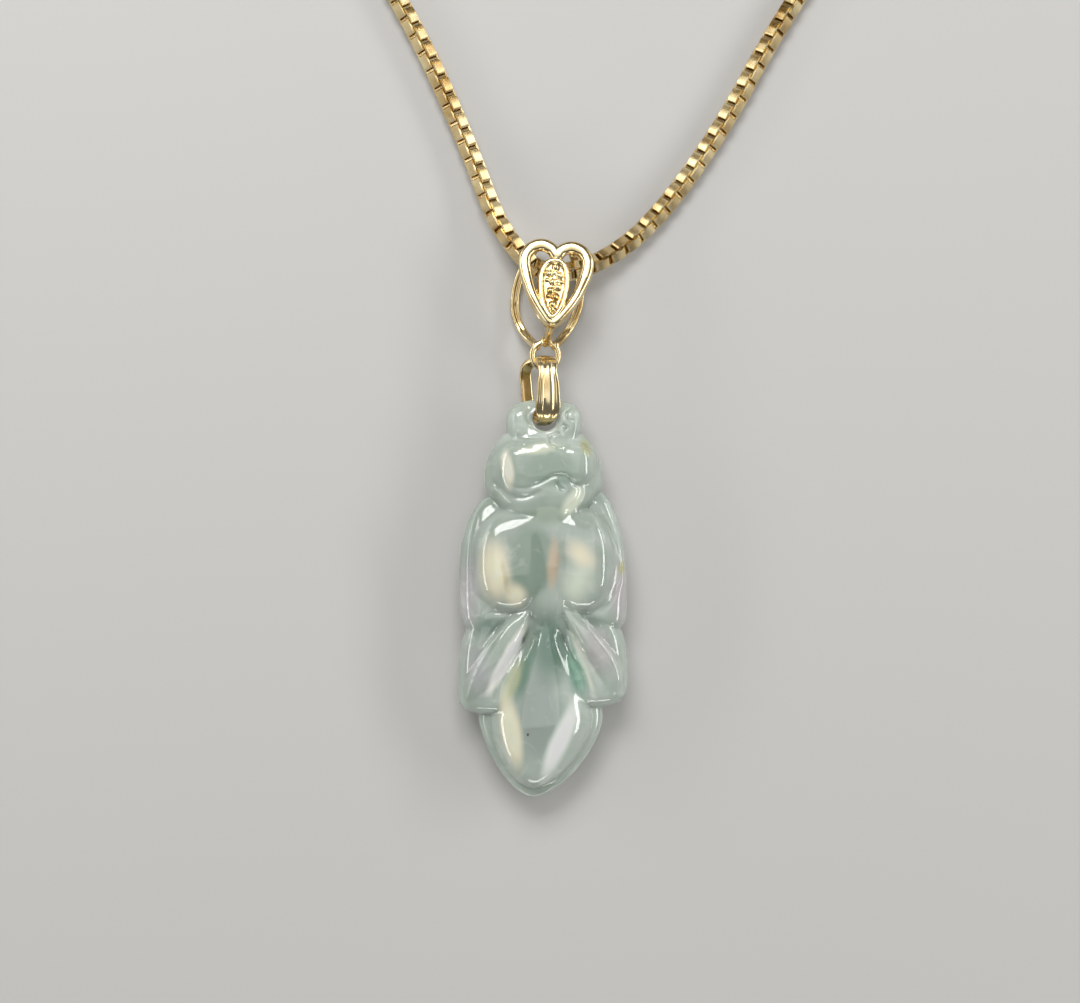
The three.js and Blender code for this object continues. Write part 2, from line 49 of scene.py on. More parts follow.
def makeObject(name, vertices, faces, material, smoothAngle=40):
    """A mesh object from vertices in millimetres and faces that all have the same corner count."""
    mesh = bpy.data.meshes.new(name)
    vertices = np.asarray(vertices, dtype=np.float64).reshape(-1, 3) * mm
    corners = faces.shape[1]
    mesh.vertices.add(len(vertices))
    mesh.vertices.foreach_set("co", vertices.ravel())
    mesh.loops.add(faces.size)
    mesh.loops.foreach_set("vertex_index", faces.ravel().astype(np.int32))
    mesh.polygons.add(len(faces))
    mesh.polygons.foreach_set("loop_start", np.arange(0, faces.size, corners, dtype=np.int32))
    mesh.update(calc_edges=True)
    mesh.validate()
    piece = bpy.data.objects.new(name, mesh)
    scene.collection.objects.link(piece)
    piece.data.materials.append(material)
    softShade(piece, smoothAngle)
    return piece


def softShade(piece, smoothAngle):
    """Smooth shading that keeps the edges sharper than the angle."""
    mesh = piece.data
    mesh.polygons.foreach_set("use_smooth", np.ones(len(mesh.polygons), dtype=bool))
    mesh.set_sharp_from_angle(angle=math.radians(smoothAngle))


def gridFaces(rows, columns, wrapRows=False):
    """Quads over a grid of points whose columns close on themselves. With wrapRows the last row
    joins the first one; without it each end is closed by a fan of quads around a centre point
    that capRows adds."""
    rowSteps = rows if wrapRows else rows - 1
    i, j = np.meshgrid(np.arange(rowSteps), np.arange(columns), indexing="ij")
    here, nextRow = i * columns, ((i + 1) % rows) * columns
    right = (j + 1) % columns
    return np.stack([here + j, nextRow + j, nextRow + right, here + right], axis=-1).reshape(-1, 4)


def capRows(points):
    """A grid with one more row at each end, drawn together into the middle of the end row."""
    first = np.repeat(points[:1].mean(axis=1, keepdims=True), points.shape[1], axis=1)
    last = np.repeat(points[-1:].mean(axis=1, keepdims=True), points.shape[1], axis=1)
    return np.concatenate([first, points, last])


def weld(piece, distance=1e-7):
    """Merges the points that lie together, as at a capped end."""
    modifier = piece.modifiers.new("weld", "WELD")
    modifier.merge_threshold = distance
    applyModifiers(piece)


def applyModifiers(piece):
    """Replaces the piece's mesh by what its modifiers make of it."""
    view = bpy.context.evaluated_depsgraph_get()
    finished = bpy.data.meshes.new_from_object(piece.evaluated_get(view))
    old = piece.data
    piece.modifiers.clear()
    piece.data = finished
    finished.name = piece.name
    bpy.data.meshes.remove(old)


def smoothPath(points, perSpan=24, closed=False):
    """A Catmull-Rom curve through the points, each span with evenly spaced parameters, where the
    tangent at a point is half the step between its neighbours."""
    points = np.asarray(points, dtype=np.float64)
    if closed:
        around = np.concatenate([points[-1:], points, points[:2]])
    else:
        around = np.concatenate([2 * points[:1] - points[1:2], points, 2 * points[-1:] - points[-2:-1]])
    spans = len(around) - 3
    t = np.linspace(0, 1, perSpan, endpoint=False)[None, :, None]
    a, b, c, d = (around[k:k + spans, None, :] for k in range(4))
    curve = 0.5 * (2 * b + (c - a) * t + (2 * a - 5 * b + 4 * c - d) * t**2 + (3 * b - a - 3 * c + d) * t**3)
    curve = curve.reshape(-1, 3)
    return curve if closed else np.concatenate([curve, points[-1:]])


def evenly(path, count, closed=False):
    """The path again as count points at equal steps along its length."""
    line = np.concatenate([path, path[:1]]) if closed else path
    along = np.concatenate([[0], np.cumsum(np.linalg.norm(np.diff(line, axis=0), axis=1))])
    want = np.linspace(0, along[-1], count, endpoint=not closed)
    return np.stack([np.interp(want, along, line[:, k]) for k in range(3)], axis=-1)


def unit(vectors):
    return vectors / np.maximum(np.linalg.norm(vectors, axis=-1, keepdims=True), 1e-12)


def directions(path, closed=False):
    """Unit tangents of a path from the step between each point's neighbours."""
    if closed:
        return unit(np.roll(path, -1, axis=0) - np.roll(path, 1, axis=0))
    return unit(np.gradient(path, axis=0))


def sweep(path, side, halfWidth, halfThickness, around=20, power=3.0, closed=False):
    """A band along a path. Its section is a superellipse, |w / halfWidth| ^ power +
    |t / halfThickness| ^ power = 1, whose width lies along side as far as the path allows."""
    tangent = directions(path, closed)
    side = np.broadcast_to(np.asarray(side, dtype=np.float64), path.shape)
    across = unit(side - tangent * np.sum(side * tangent, axis=-1, keepdims=True))
    out = np.cross(across, tangent)
    angle = np.linspace(0, 2 * math.pi, around, endpoint=False)
    w = np.sign(np.cos(angle)) * np.abs(np.cos(angle)) ** (2 / power)
    t = np.sign(np.sin(angle)) * np.abs(np.sin(angle)) ** (2 / power)
    halfWidth = np.broadcast_to(halfWidth, len(path))[:, None, None]
    halfThickness = np.broadcast_to(halfThickness, len(path))[:, None, None]
    return path[:, None] + across[:, None] * w[:, None] * halfWidth + out[:, None] * t[:, None] * halfThickness


# materials

def newMaterial(name):
    material = bpy.data.materials.new(name)
    material.use_nodes = True
    nodes = material.node_tree.nodes
    return material, nodes, material.node_tree.links, nodes["Principled BSDF"]


def addNode(nodes, kind, settings=None, **inputs):
    """A node with its settings and the plain values of its inputs."""
    node = nodes.new(kind)
    for key, value in (settings or {}).items():
        setattr(node, key, value)
    for key, value in inputs.items():
        node.inputs[key].default_value = value
    return node


def rampOf(nodes, stops):
    """A colour ramp from (place, colour) pairs."""
    ramp = nodes.new("ShaderNodeValToRGB")
    for place, colour in stops[1:-1]:
        ramp.color_ramp.elements.new(place)
    for element, (place, colour) in zip(ramp.color_ramp.elements, stops):
        element.position = place
        element.color = (*colour, 1)
    return ramp


handlingSize = {"smudges": 260, "scratches": 900}


def handlingGroup():
    """Faint signs of handling, as a roughness value and a bump height: wide cloudy smudges from
    a soft noise, and short fine scratches from a noise that is stretched along one axis."""
    group = bpy.data.node_groups.new("handling", "ShaderNodeTree")
    for name, kind, direction in [
        ("Vector", "NodeSocketVector", "INPUT"), ("Base", "NodeSocketFloat", "INPUT"),
        ("Smudge", "NodeSocketFloat", "INPUT"), ("Scratch", "NodeSocketFloat", "INPUT"),
        ("Roughness", "NodeSocketFloat", "OUTPUT"), ("Height", "NodeSocketFloat", "OUTPUT"),
    ]:
        group.interface.new_socket(name, in_out=direction, socket_type=kind)
    nodes, links = group.nodes, group.links
    inside = nodes.new("NodeGroupInput")
    outside = nodes.new("NodeGroupOutput")
    smudges = addNode(nodes, "ShaderNodeTexNoise", Scale=handlingSize["smudges"], Detail=3.0)
    stretch = addNode(nodes, "ShaderNodeMapping", Scale=(1.0, 0.12, 1.0), Rotation=(0.0, 0.0, 0.5))
    scratches = addNode(nodes, "ShaderNodeTexNoise", Scale=handlingSize["scratches"], Detail=2.0)
    links.new(inside.outputs["Vector"], smudges.inputs["Vector"])
    links.new(inside.outputs["Vector"], stretch.inputs["Vector"])
    links.new(stretch.outputs["Vector"], scratches.inputs["Vector"])
    smudgeShare = addNode(nodes, "ShaderNodeMath", {"operation": "MULTIPLY"})
    links.new(smudges.outputs["Fac"], smudgeShare.inputs[0])
    links.new(inside.outputs["Smudge"], smudgeShare.inputs[1])
    roughness = addNode(nodes, "ShaderNodeMath", {"operation": "ADD"})
    links.new(smudgeShare.outputs[0], roughness.inputs[0])
    links.new(inside.outputs["Base"], roughness.inputs[1])
    height = addNode(nodes, "ShaderNodeMath", {"operation": "MULTIPLY"})
    links.new(scratches.outputs["Fac"], height.inputs[0])
    links.new(inside.outputs["Scratch"], height.inputs[1])
    links.new(roughness.outputs[0], outside.inputs["Roughness"])
    links.new(height.outputs[0], outside.inputs["Height"])
    return group


handling = handlingGroup()


def addHandling(nodes, links, shader, vector, base, smudge, scratch, depth):
    """Places the handling group before a shader's roughness and normal."""
    wear = nodes.new("ShaderNodeGroup")
    wear.node_tree = handling
    wear.inputs["Base"].default_value = base
    wear.inputs["Smudge"].default_value = smudge
    wear.inputs["Scratch"].default_value = scratch
    links.new(vector, wear.inputs["Vector"])
    bump = addNode(nodes, "ShaderNodeBump", Strength=1.0, Distance=depth * mm)
    links.new(wear.outputs["Height"], bump.inputs["Height"])
    links.new(wear.outputs["Roughness"], shader.inputs["Roughness"])
    links.new(bump.outputs["Normal"], shader.inputs["Normal"])
    return wear


goldLook = {
    "pale": (0.86, 0.72, 0.43), "deep": (0.60, 0.42, 0.18),
    "patchScale": 420, "roughness": 0.13, "smudge": 0.14, "scratchDepth": 0.012,
}


def goldMaterial(name, roughness):
    """Polished yellow gold, slightly deeper in places, with the handling it gets in wear."""
    material, nodes, links, shader = newMaterial(name)
    shader.inputs["Metallic"].default_value = 1.0
    place = nodes.new("ShaderNodeTexCoord").outputs["Object"]
    patches = addNode(nodes, "ShaderNodeTexNoise", Scale=goldLook["patchScale"], Detail=2.0)
    tones = rampOf(nodes, [(0.3, goldLook["deep"]), (0.62, goldLook["pale"])])
    links.new(place, patches.inputs["Vector"])
    links.new(patches.outputs["Fac"], tones.inputs["Fac"])
    links.new(tones.outputs["Color"], shader.inputs["Base Color"])
    addHandling(nodes, links, shader, place, roughness, goldLook["smudge"], 1.0, goldLook["scratchDepth"])
    return material


jadeLook = {
    "base": (0.43, 0.50, 0.44), "cloud": (0.60, 0.67, 0.61), "wisp": (0.93, 0.96, 0.90), "wispShare": 0.35,
    "cloudScale": 170, "wispScale": 420, "drift": 1.0, "zoneDepth": 4.6,
    "roughness": 0.03, "smudge": 0.04,
    "transmission": 0.3, "ior": 1.66, "scatter": 0.9,
}

# Coloured zones, each over the ones before it: the middle and the half sizes of a
# soft ellipse in the plane of the fish, its turn, its colour, how strongly it shows and how
# much of it is edge. Every zone reaches through the whole carving. The lavender, green and
# olive zones, the leaf's middle and the speck are the stone's own colour; the cream, pale,
# white and warm valley zones are painted glow, light reflected and refracted inside the
# stone, and the two dark zones on the tail lobes are painted shade under the flanks.
jadeZones = {
    "lavenderFinLeft": ((-6.9, -6.6), (1.6, 4.6), 0.0, (0.58, 0.54, 0.58), 0.7, 0.8),
    "lavenderFinRight": ((7.0, -6.6), (1.5, 4.2), 0.0, (0.60, 0.54, 0.58), 0.7, 0.8),
    "lavenderLobeLeft": ((-6.0, -13.6), (1.8, 3.6), 0.2, (0.52, 0.52, 0.54), 0.7, 0.8),
    "lavenderLobeRight": ((4.9, -11.6), (1.9, 3.4), 0.4, (0.56, 0.52, 0.54), 0.7, 0.8),
    # painted shade: darker strips on the tail lobes just under the flanks' lower edges, where the flanks shade them
    "paintedShadeLobeLeft": ((-5.1, -9.5), (2.0, 1.2), 0.5, (0.26, 0.35, 0.30), 0.75, 0.8),
    "paintedShadeLobeRight": ((4.1, -8.9), (1.9, 0.9), -0.4, (0.28, 0.35, 0.30), 0.75, 0.8),
    "greenNeck": ((0.2, 0.4), (3.0, 1.4), 0.0, (0.36, 0.46, 0.35), 0.7, 0.8),
    "greenHead": ((0.4, 4.4), (3.6, 2.6), 0.0, (0.36, 0.46, 0.38), 0.8, 0.7),
    # painted light: cream and pale glow inside the head, light reflected and refracted in the stone, laid into its
    # colour
    "paintedGlowHeadLeft": ((-3.4, 4.3), (0.75, 2.2), 0.1, (1.0, 0.97, 0.82), 1.0, 0.7),
    "paintedGlowHeadTop": ((-0.5, 6.1), (2.8, 0.7), 0.15, (0.84, 0.87, 0.70), 0.8, 0.8),
    "paintedGlowCheekRight": ((2.5, 1.6), (0.9, 2.2), -0.6, (0.90, 0.95, 0.80), 0.9, 0.7),
    # painted light: cream glow of light refracted inside the left flank
    "paintedGlowLeftFlank": ((-4.5, -4.6), (1.9, 3.7), 0.1, (1.0, 0.92, 0.72), 1.0, 0.75),
    "greenLeftFlank": ((-1.2, -3.8), (2.6, 3.7), 0.0, (0.34, 0.44, 0.36), 0.85, 0.35),
    "oliveArc": ((-3.65, -5.4), (0.4, 2.2), 0.2, (0.55, 0.50, 0.30), 0.5, 0.8),
    # painted light: cream glow at the foot of the left flank, warm refracted light along the valley between the
    # flanks, and pale and cream glow inside the right flank
    "paintedGlowLowFlank": ((-2.7, -6.7), (1.4, 1.5), 0.6, (1.0, 0.94, 0.74), 1.0, 0.8),
    "paintedGlowValley": ((0.72, -4.0), (0.85, 3.2), 0.0, (0.72, 0.60, 0.45), 0.9, 0.7),
    "paintedPaleGlowRightFlank": ((2.9, -5.8), (2.0, 3.4), -0.25, (0.86, 0.93, 0.80), 0.9, 1.0),
    "paintedGlowRightFlank": ((3.2, -3.2), (2.4, 1.5), -0.7, (1.0, 0.92, 0.72), 0.95, 1.0),
    # painted light: a band of light reflected inside the stone along each petal's inner edge
    "paintedGlowPetalLeft": ((-3.4, -12.4), (0.75, 4.4), -0.48, (1.0, 1.0, 0.93), 1.0, 0.5),
    "paintedGlowPetalRight": ((3.6, -12.8), (0.5, 4.2), 0.37, (0.78, 0.80, 0.70), 0.7, 0.7),
    "leafMiddle": ((-0.4, -17.6), (2.6, 6.2), 0.0, (0.38, 0.44, 0.41), 0.8, 0.6),
    "greenLeaf": ((0.5, -11.6), (2.6, 4.4), 0.0, (0.18, 0.29, 0.23), 0.9, 0.75),
    "greenLeafLeft": ((-1.9, -13.8), (0.8, 3.4), -0.25, (0.22, 0.36, 0.28), 0.8, 0.7),
    "greenLeafRight": ((3.0, -13.8), (1.2, 3.0), 0.3, (0.24, 0.46, 0.34), 0.95, 0.8),
    "leafOlive": ((-2.9, -14.6), (0.9, 2.8), -0.3, (0.62, 0.66, 0.44), 0.8, 0.7),
    # painted light: cream and white stripes of light refracted down the two sides of the leaf
    "paintedGlowLeafLeft": ((-3.0, -19.0), (1.2, 4.8), 0.16, (1.0, 0.94, 0.74), 1.0, 0.7),
    "paintedGlowLeafRight": ((1.5, -19.8), (1.1, 5.2), -0.39, (0.95, 1.0, 0.95), 1.0, 0.6),
    "oliveSpot": ((3.8, 6.4), (0.7, 1.2), 0.3, (0.46, 0.47, 0.22), 0.9, 0.9),
    "oliveFinSpot": ((7.1, -4.4), (0.6, 1.0), 0.0, (0.50, 0.50, 0.24), 0.9, 0.9),
    "speck": ((-1.5, -19.3), (0.2, 0.2), 0.0, (0.10, 0.12, 0.08), 0.9, 0.7),
}


def jadeMaterial():
    """Icy jadeite: a glossy, partly clear stone whose colour drifts in soft clouds, with a
    named zone for each green, olive or lavender part of it, and zones of painted glow and painted shade."""
    material, nodes, links, shader = newMaterial("jade stone")
    place = nodes.new("ShaderNodeTexCoord").outputs["Object"]
    bend = addNode(nodes, "ShaderNodeTexNoise", Scale=jadeLook["cloudScale"], Detail=4.0, Distortion=0.6)
    wisps = addNode(nodes, "ShaderNodeTexNoise", Scale=jadeLook["wispScale"], Detail=5.0, Distortion=1.4)
    links.new(place, bend.inputs["Vector"])
    links.new(place, wisps.inputs["Vector"])
    clouds = rampOf(nodes, [(0.34, jadeLook["base"]), (0.68, jadeLook["cloud"])])
    links.new(bend.outputs["Fac"], clouds.inputs["Fac"])
    wander = addNode(nodes, "ShaderNodeVectorMath", {"operation": "SUBTRACT"})
    wander.inputs[1].default_value = (0.5, 0.5, 0.5)
    links.new(bend.outputs["Color"], wander.inputs[0])
    drift = addNode(nodes, "ShaderNodeVectorMath", {"operation": "SCALE"}, Scale=jadeLook["drift"] * mm)
    links.new(wander.outputs[0], drift.inputs[0])
    moved = addNode(nodes, "ShaderNodeVectorMath", {"operation": "ADD"})
    links.new(place, moved.inputs[0])
    links.new(drift.outputs[0], moved.inputs[1])
    colour = clouds.outputs["Color"]
    for middle, reach, turn, tint, strength, edge in jadeZones.values():
        fit = addNode(nodes, "ShaderNodeMapping", {"vector_type": "TEXTURE"})
        fit.inputs["Location"].default_value = [v * mm for v in (*middle, jadeLook["zoneDepth"])]
        fit.inputs["Rotation"].default_value = (0, 0, turn)
        fit.inputs["Scale"].default_value = [v * mm for v in (*reach, 2 * jadeLook["zoneDepth"])]
        inside = addNode(nodes, "ShaderNodeTexGradient", {"gradient_type": "SPHERICAL"})
        share = addNode(nodes, "ShaderNodeMapRange", {"interpolation_type": "SMOOTHSTEP"})
        share.inputs["From Max"].default_value = edge
        share.inputs["To Max"].default_value = strength
        blend = addNode(nodes, "ShaderNodeMix", {"data_type": "RGBA"})
        blend.inputs["B"].default_value = (*tint, 1)
        links.new(moved.outputs[0], fit.inputs["Vector"])
        links.new(fit.outputs[0], inside.inputs["Vector"])
        links.new(inside.outputs["Fac"], share.inputs["Value"])
        links.new(share.outputs["Result"], blend.inputs["Factor"])
        links.new(colour, blend.inputs["A"])
        colour = blend.outputs["Result"]
    wispShare = addNode(nodes, "ShaderNodeMapRange")
    wispShare.inputs["From Min"].default_value = 0.56
    wispShare.inputs["From Max"].default_value = 0.78
    wispShare.inputs["To Max"].default_value = jadeLook["wispShare"]
    wispMix = addNode(nodes, "ShaderNodeMix", {"data_type": "RGBA"})
    wispMix.inputs["B"].default_value = (*jadeLook["wisp"], 1)
    links.new(wisps.outputs["Fac"], wispShare.inputs["Value"])
    links.new(wispShare.outputs["Result"], wispMix.inputs["Factor"])
    links.new(colour, wispMix.inputs["A"])
    links.new(wispMix.outputs["Result"], shader.inputs["Base Color"])
    shader.inputs["IOR"].default_value = jadeLook["ior"]
    shader.inputs["Transmission Weight"].default_value = jadeLook["transmission"]
    shader.inputs["Subsurface Weight"].default_value = 1.0
    shader.inputs["Subsurface Radius"].default_value = (1.0, 1.0, 0.9)
    shader.inputs["Subsurface Scale"].default_value = jadeLook["scatter"] * mm
    addHandling(nodes, links, shader, place, jadeLook["roughness"], jadeLook["smudge"], 1.0, 0.002)
    return material


castGold = goldMaterial("cast gold", goldLook["roughness"])
chainGold = goldMaterial("chain gold", goldLook["roughness"] + 0.03)
jadeStone = jadeMaterial()
print("materials ready")


# camera and lights

studio = {
    "pixel": 0.09, "lookAt": (-0.28, 1.53), "level": 3.0, "lens": 100.0, "tilt": -4.0,
    "floorSize": 900.0,
}


def placeCamera():
    """Looks down on the pendant from the distance at which one pixel of a 1080 pixel wide frame
    is as wide as the pixel size, with a small tilt to the left."""
    camera = bpy.data.objects.new("camera", bpy.data.cameras.new("camera"))
    scene.collection.objects.link(camera)
    camera.data.sensor_width = 36.0
    camera.data.lens = studio["lens"]
    camera.data.clip_start = 0.01
    distance = studio["lens"] * 1080 * studio["pixel"] / 36.0
    tilt = math.radians(studio["tilt"])
    x, y = studio["lookAt"]
    away = (x + distance * math.sin(tilt), y, studio["level"] + distance * math.cos(tilt))
    camera.location = [v * mm for v in away]
    camera.rotation_euler = (0, tilt, 0)
    scene.camera = camera


placeCamera()

lights = {
    "window": ((-60, 215, 260), (220, 120), 0.78, (1.0, 0.99, 0.97)),
    "strip": ((300, 40, 160), (380, 60), 0.55, (1.0, 0.99, 0.97)),
    "overhead": ((0, 140, 690), (560, 560), 1.0, (1.0, 0.99, 0.97)),
    "rightCard": ((380, 230, 30), (300, 90), 0.25, (1.0, 0.99, 0.97)),
    "leftCard": ((-380, 230, 30), (300, 90), 0.25, (1.0, 0.99, 0.97)),
    "low": ((-290, 0, 110), (380, 44), 0.3, (1.0, 0.98, 0.95)),
    "foot": ((20, -300, 120), (300, 46), 0.27, (1.0, 0.99, 0.97)),
}


def placeLights():
    """Soft area lamps, each aimed at the middle of the pendant."""
    for name, (place, size, power, colour) in lights.items():
        lamp = bpy.data.lights.new(name, "AREA")
        lamp.shape = "RECTANGLE"
        lamp.size, lamp.size_y = (s * mm for s in size)
        lamp.energy = power
        lamp.color = colour
        holder = bpy.data.objects.new(name, lamp)
        scene.collection.objects.link(holder)
        away = np.array(place, dtype=float)
        holder.location = away * mm
        reach = math.hypot(away[0], away[1])
        holder.rotation_euler = (math.atan2(reach, away[2]), 0, math.atan2(away[1], away[0]) + math.pi / 2)
    world = bpy.data.worlds.new("studio")
    world.use_nodes = True
    world.node_tree.nodes["Background"].inputs["Color"].default_value = (0.86, 0.88, 0.90, 1)
    world.node_tree.nodes["Background"].inputs["Strength"].default_value = 0.15
    scene.world = world
    scene.view_settings.view_transform = "Standard"


placeLights()


def placeFloor():
    """A plain pale table top."""
    material, nodes, links, shader = newMaterial("pale table")
    shader.inputs["Base Color"].default_value = (0.50, 0.495, 0.485, 1)
    shader.inputs["Roughness"].default_value = 0.55
    half = studio["floorSize"] / 2
    corners = np.array([[-half, -half, 0], [half, -half, 0], [half, half, 0], [-half, half, 0]])
    floor = makeObject("table", corners, np.array([[0, 1, 2, 3]]), material)


placeFloor()
print("camera, lights and table ready")


# box chain: two free ends that start inside the bail and are wound up past the clasp

chain = {
    "across": 1.75, "lyingLevel": 0.9, "pitch": 0.875,
    "linkLength": 1.56, "linkSide": 1.46, "linkWidth": 0.96, "linkWall": 0.2, "corner": 0.24,
    "coilRadius": 10.28, "coilY": 61.2, "turnsIn": 1.75, "turnsOut": 1.5,
    "climbStart": 1.3, "climbTurns": 0.6, "roll": {"left": -0.09, "right": 0},
    "coilMiddle": {"left": -6.9, "right": 17.8},
    "left": [
        (0.7, 22.2, 2.25), (-0.6, 22.65, 2.25), (-1.75, 23.6, 2.2), (-2.9, 25.1, 2), (-3.95, 26.8, 1.55),
        (-4.9, 29, 1.1), (-5.8, 31.4, 0.95), (-6.75, 33.8, 0.9), (-8, 36.8, 0.9), (-9.3, 39.7, 0.9),
        (-10.6, 42.4, 0.9), (-12, 45.1, 0.9), (-13.6, 48, 0.9), (-15.2, 51, 0.9), (-15.85, 52.5, 0.9),
        (-16.75, 56, 0.9),
    ],
    "right": [
        (1, 22.15, 2.25), (2.3, 22.3, 2.25), (3.6, 22.6, 2.2), (5, 23.2, 2), (6.6, 24.1, 1.55),
        (8.6, 25.6, 1.1), (10.5, 27.5, 0.95), (12.4, 29.8, 0.9), (14.3, 32.4, 0.9), (16.2, 35.3, 0.9),
        (18, 38.3, 0.9), (19.7, 41.4, 0.9), (21.5, 44.5, 0.9), (23.5, 47.7, 0.9), (25.4, 50.8, 0.9),
        (26.2, 52.2, 0.9), (27.55, 56, 0.9),
    ],
    # steps from the coil's middle towards the fitting, and their levels
    "leave": [(2.6, 2.62), (4.6, 2.45), (6.7, 1.5)],
    "fitting": {"left": 1.1, "right": 9.5}, "fittingLevel": 1.12,
}


def coilPath(side):
    """A flat spiral that runs inward by one chain width a turn, then outward on top of itself.
    Its radius is start - across * turns on the way in, and grows again at the same rate."""
    turns = np.arange(0, chain["turnsIn"] + chain["turnsOut"] + 1e-6, 1 / 24)
    inward = np.minimum(turns, chain["turnsIn"])
    outward = np.maximum(turns - chain["turnsIn"], 0)
    radius = chain["coilRadius"] - chain["across"] * (inward - outward)
    climb = np.clip((turns - chain["climbStart"]) / chain["climbTurns"], 0, 1)
    level = chain["lyingLevel"] + chain["across"] * climb**2 * (3 - 2 * climb)
    angle = math.pi - 2 * math.pi * turns
    x = radius * np.cos(angle)
    if side == "right":
        x = -x
    y = radius * np.sin(angle)
    return np.stack([chain["coilMiddle"][side] + x, chain["coilY"] + y, level], axis=-1)


def chainRoute(side):
    """The whole route of one side: the listed points, the coil, and the way to the fitting."""
    sign = 1 if side == "left" else -1
    coil = coilPath(side)
    top = coil[-1]
    leave = [(chain["coilMiddle"][side] + sign * step, top[1], level) for step, level in chain["leave"]]
    end = chain["fitting"][side]
    last = leave[-1]
    leave.append(((last[0] + end) / 2, top[1], (last[2] + chain["fittingLevel"]) / 2 - 0.05))
    leave.append((end, top[1], chain["fittingLevel"]))
    return smoothPath(np.concatenate([np.array(chain[side]), coil, np.array(leave)]), perSpan=8)


def chainLink():
    """One link lying along X in the XY plane: a square ring bent from a flat strip. Its middle
    line is a rounded rectangle of 12 points, and its section a rectangle of 4."""
    halfLength = (chain["linkLength"] - chain["linkWall"]) / 2
    halfSide = (chain["linkSide"] - chain["linkWall"]) / 2
    cut = chain["corner"]
    corners = []
    for sx, sy in [(1, 1), (-1, 1), (-1, -1), (1, -1)]:
        arc = [(halfLength, halfSide - cut), (halfLength - cut * 0.3, halfSide - cut * 0.3), (halfLength - cut, halfSide)]
        if sx * sy < 0:
            arc = arc[::-1]
        corners += [(sx * x, sy * y, 0) for x, y in arc]
    line = np.array(corners)
    outward = unit(np.roll(line, 1, axis=0) - np.roll(line, -1, axis=0))[:, [1, 0, 2]] * np.array([-1, 1, 0])
    rings = []
    for side, height in [(1, 1), (-1, 1), (-1, -1), (1, -1)]:
        rings.append(line + outward * side * chain["linkWall"] / 2 + np.array([0, 0, height * chain["linkWidth"] / 2]))
    return np.stack(rings, axis=1)


def makeChain(side, nodes):
    """Copies of the link along the route, each turned a quarter from the last, on its edges."""
    route = chainRoute(side)
    length = np.linalg.norm(np.diff(route, axis=0), axis=1).sum()
    count = int(round(length / chain["pitch"])) + 1
    centres = evenly(route, count)
    tangent = directions(centres)
    across = unit(np.cross(np.array([0, 0, 1.0]), tangent))
    up = np.cross(tangent, across)
    turn = math.pi / 4 + chain["roll"][side] + (np.arange(count) % 2) * math.pi / 2
    first = across * np.cos(turn)[:, None] + up * np.sin(turn)[:, None]
    second = np.cross(tangent, first)
    link = chainLink()
    shape = link.reshape(-1, 3)
    vertices = (
        centres[:, None]
        + tangent[:, None] * shape[None, :, :1]
        + first[:, None] * shape[None, :, 1:2]
        + second[:, None] * shape[None, :, 2:]
    )
    faces = gridFaces(link.shape[0], link.shape[1], wrapRows=True)
    allFaces = (faces[None] + np.arange(count)[:, None, None] * len(shape)).reshape(-1, 4)
    piece = makeObject(f"chain_{side}", vertices, allFaces, chainGold, 30)
    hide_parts(*nodes)
    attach(piece, "root")
    print(side, "chain:", count, "links,", round(length, 1), "mm")
    return piece


# lobster clasp and end ring

clasp = {
    "x": 1.3, "y": 71.0375, "level": 0.12, "rise": 0.12, "thickness": 0.7,
    "hookX": 4.9, "hookRadius": 1.6, "openingX": 4.75, "openingLength": 1.15, "openingHalfWidth": 1.0,
    "ringRadius": 1.3, "ringWire": 0.28, "ringTilt": 0.9, "ringX": 7.7,
}


def makeClasp():
    """A flat drop-shaped body round an opening. Outline and opening are two loops at the same
    angles, and the surface between them is rounded: height = thickness * sqrt(1 - s ^ 4)."""
    count, around = 96, 20
    angle = np.linspace(0, 2 * math.pi, count, endpoint=False)
    innerX = clasp["openingX"] + clasp["openingLength"] * np.cos(angle)
    innerY = clasp["openingHalfWidth"] * np.sin(angle)
    narrow = np.clip((-np.cos(angle) - 0.15) / 0.85, 0, 1)
    outerX = clasp["hookX"] + clasp["hookRadius"] * np.cos(angle) - (clasp["hookX"] - clasp["hookRadius"]) * narrow**3
    outerY = clasp["hookRadius"] * np.sin(angle) * (1 - 0.12 * narrow)
    middle = np.stack([(innerX + outerX) / 2, (innerY + outerY) / 2], axis=-1)
    half = np.stack([(outerX - innerX) / 2, (outerY - innerY) / 2], axis=-1)
    section = np.linspace(0, 2 * math.pi, around, endpoint=False)
    w = np.sign(np.cos(section)) * np.abs(np.cos(section)) ** 0.6
    t = np.sign(np.sin(section)) * np.abs(np.sin(section)) ** 0.6
    flat = middle[:, None] + half[:, None] * w[None, :, None]
    height = clasp["thickness"] / 2 * (1 + t)[None].repeat(count, axis=0)
    x = flat[..., 0] * math.cos(clasp["rise"]) - (height - 0) * math.sin(clasp["rise"])
    z = flat[..., 0] * math.sin(clasp["rise"]) + height * math.cos(clasp["rise"])
    points = np.stack([clasp["x"] + x, clasp["y"] + flat[..., 1], clasp["level"] + z], axis=-1)
    piece = makeObject("lobster_clasp_body", points, gridFaces(count, around, wrapRows=True), castGold)
    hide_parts("lobster_clasp")
    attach(piece, "root")
    return piece


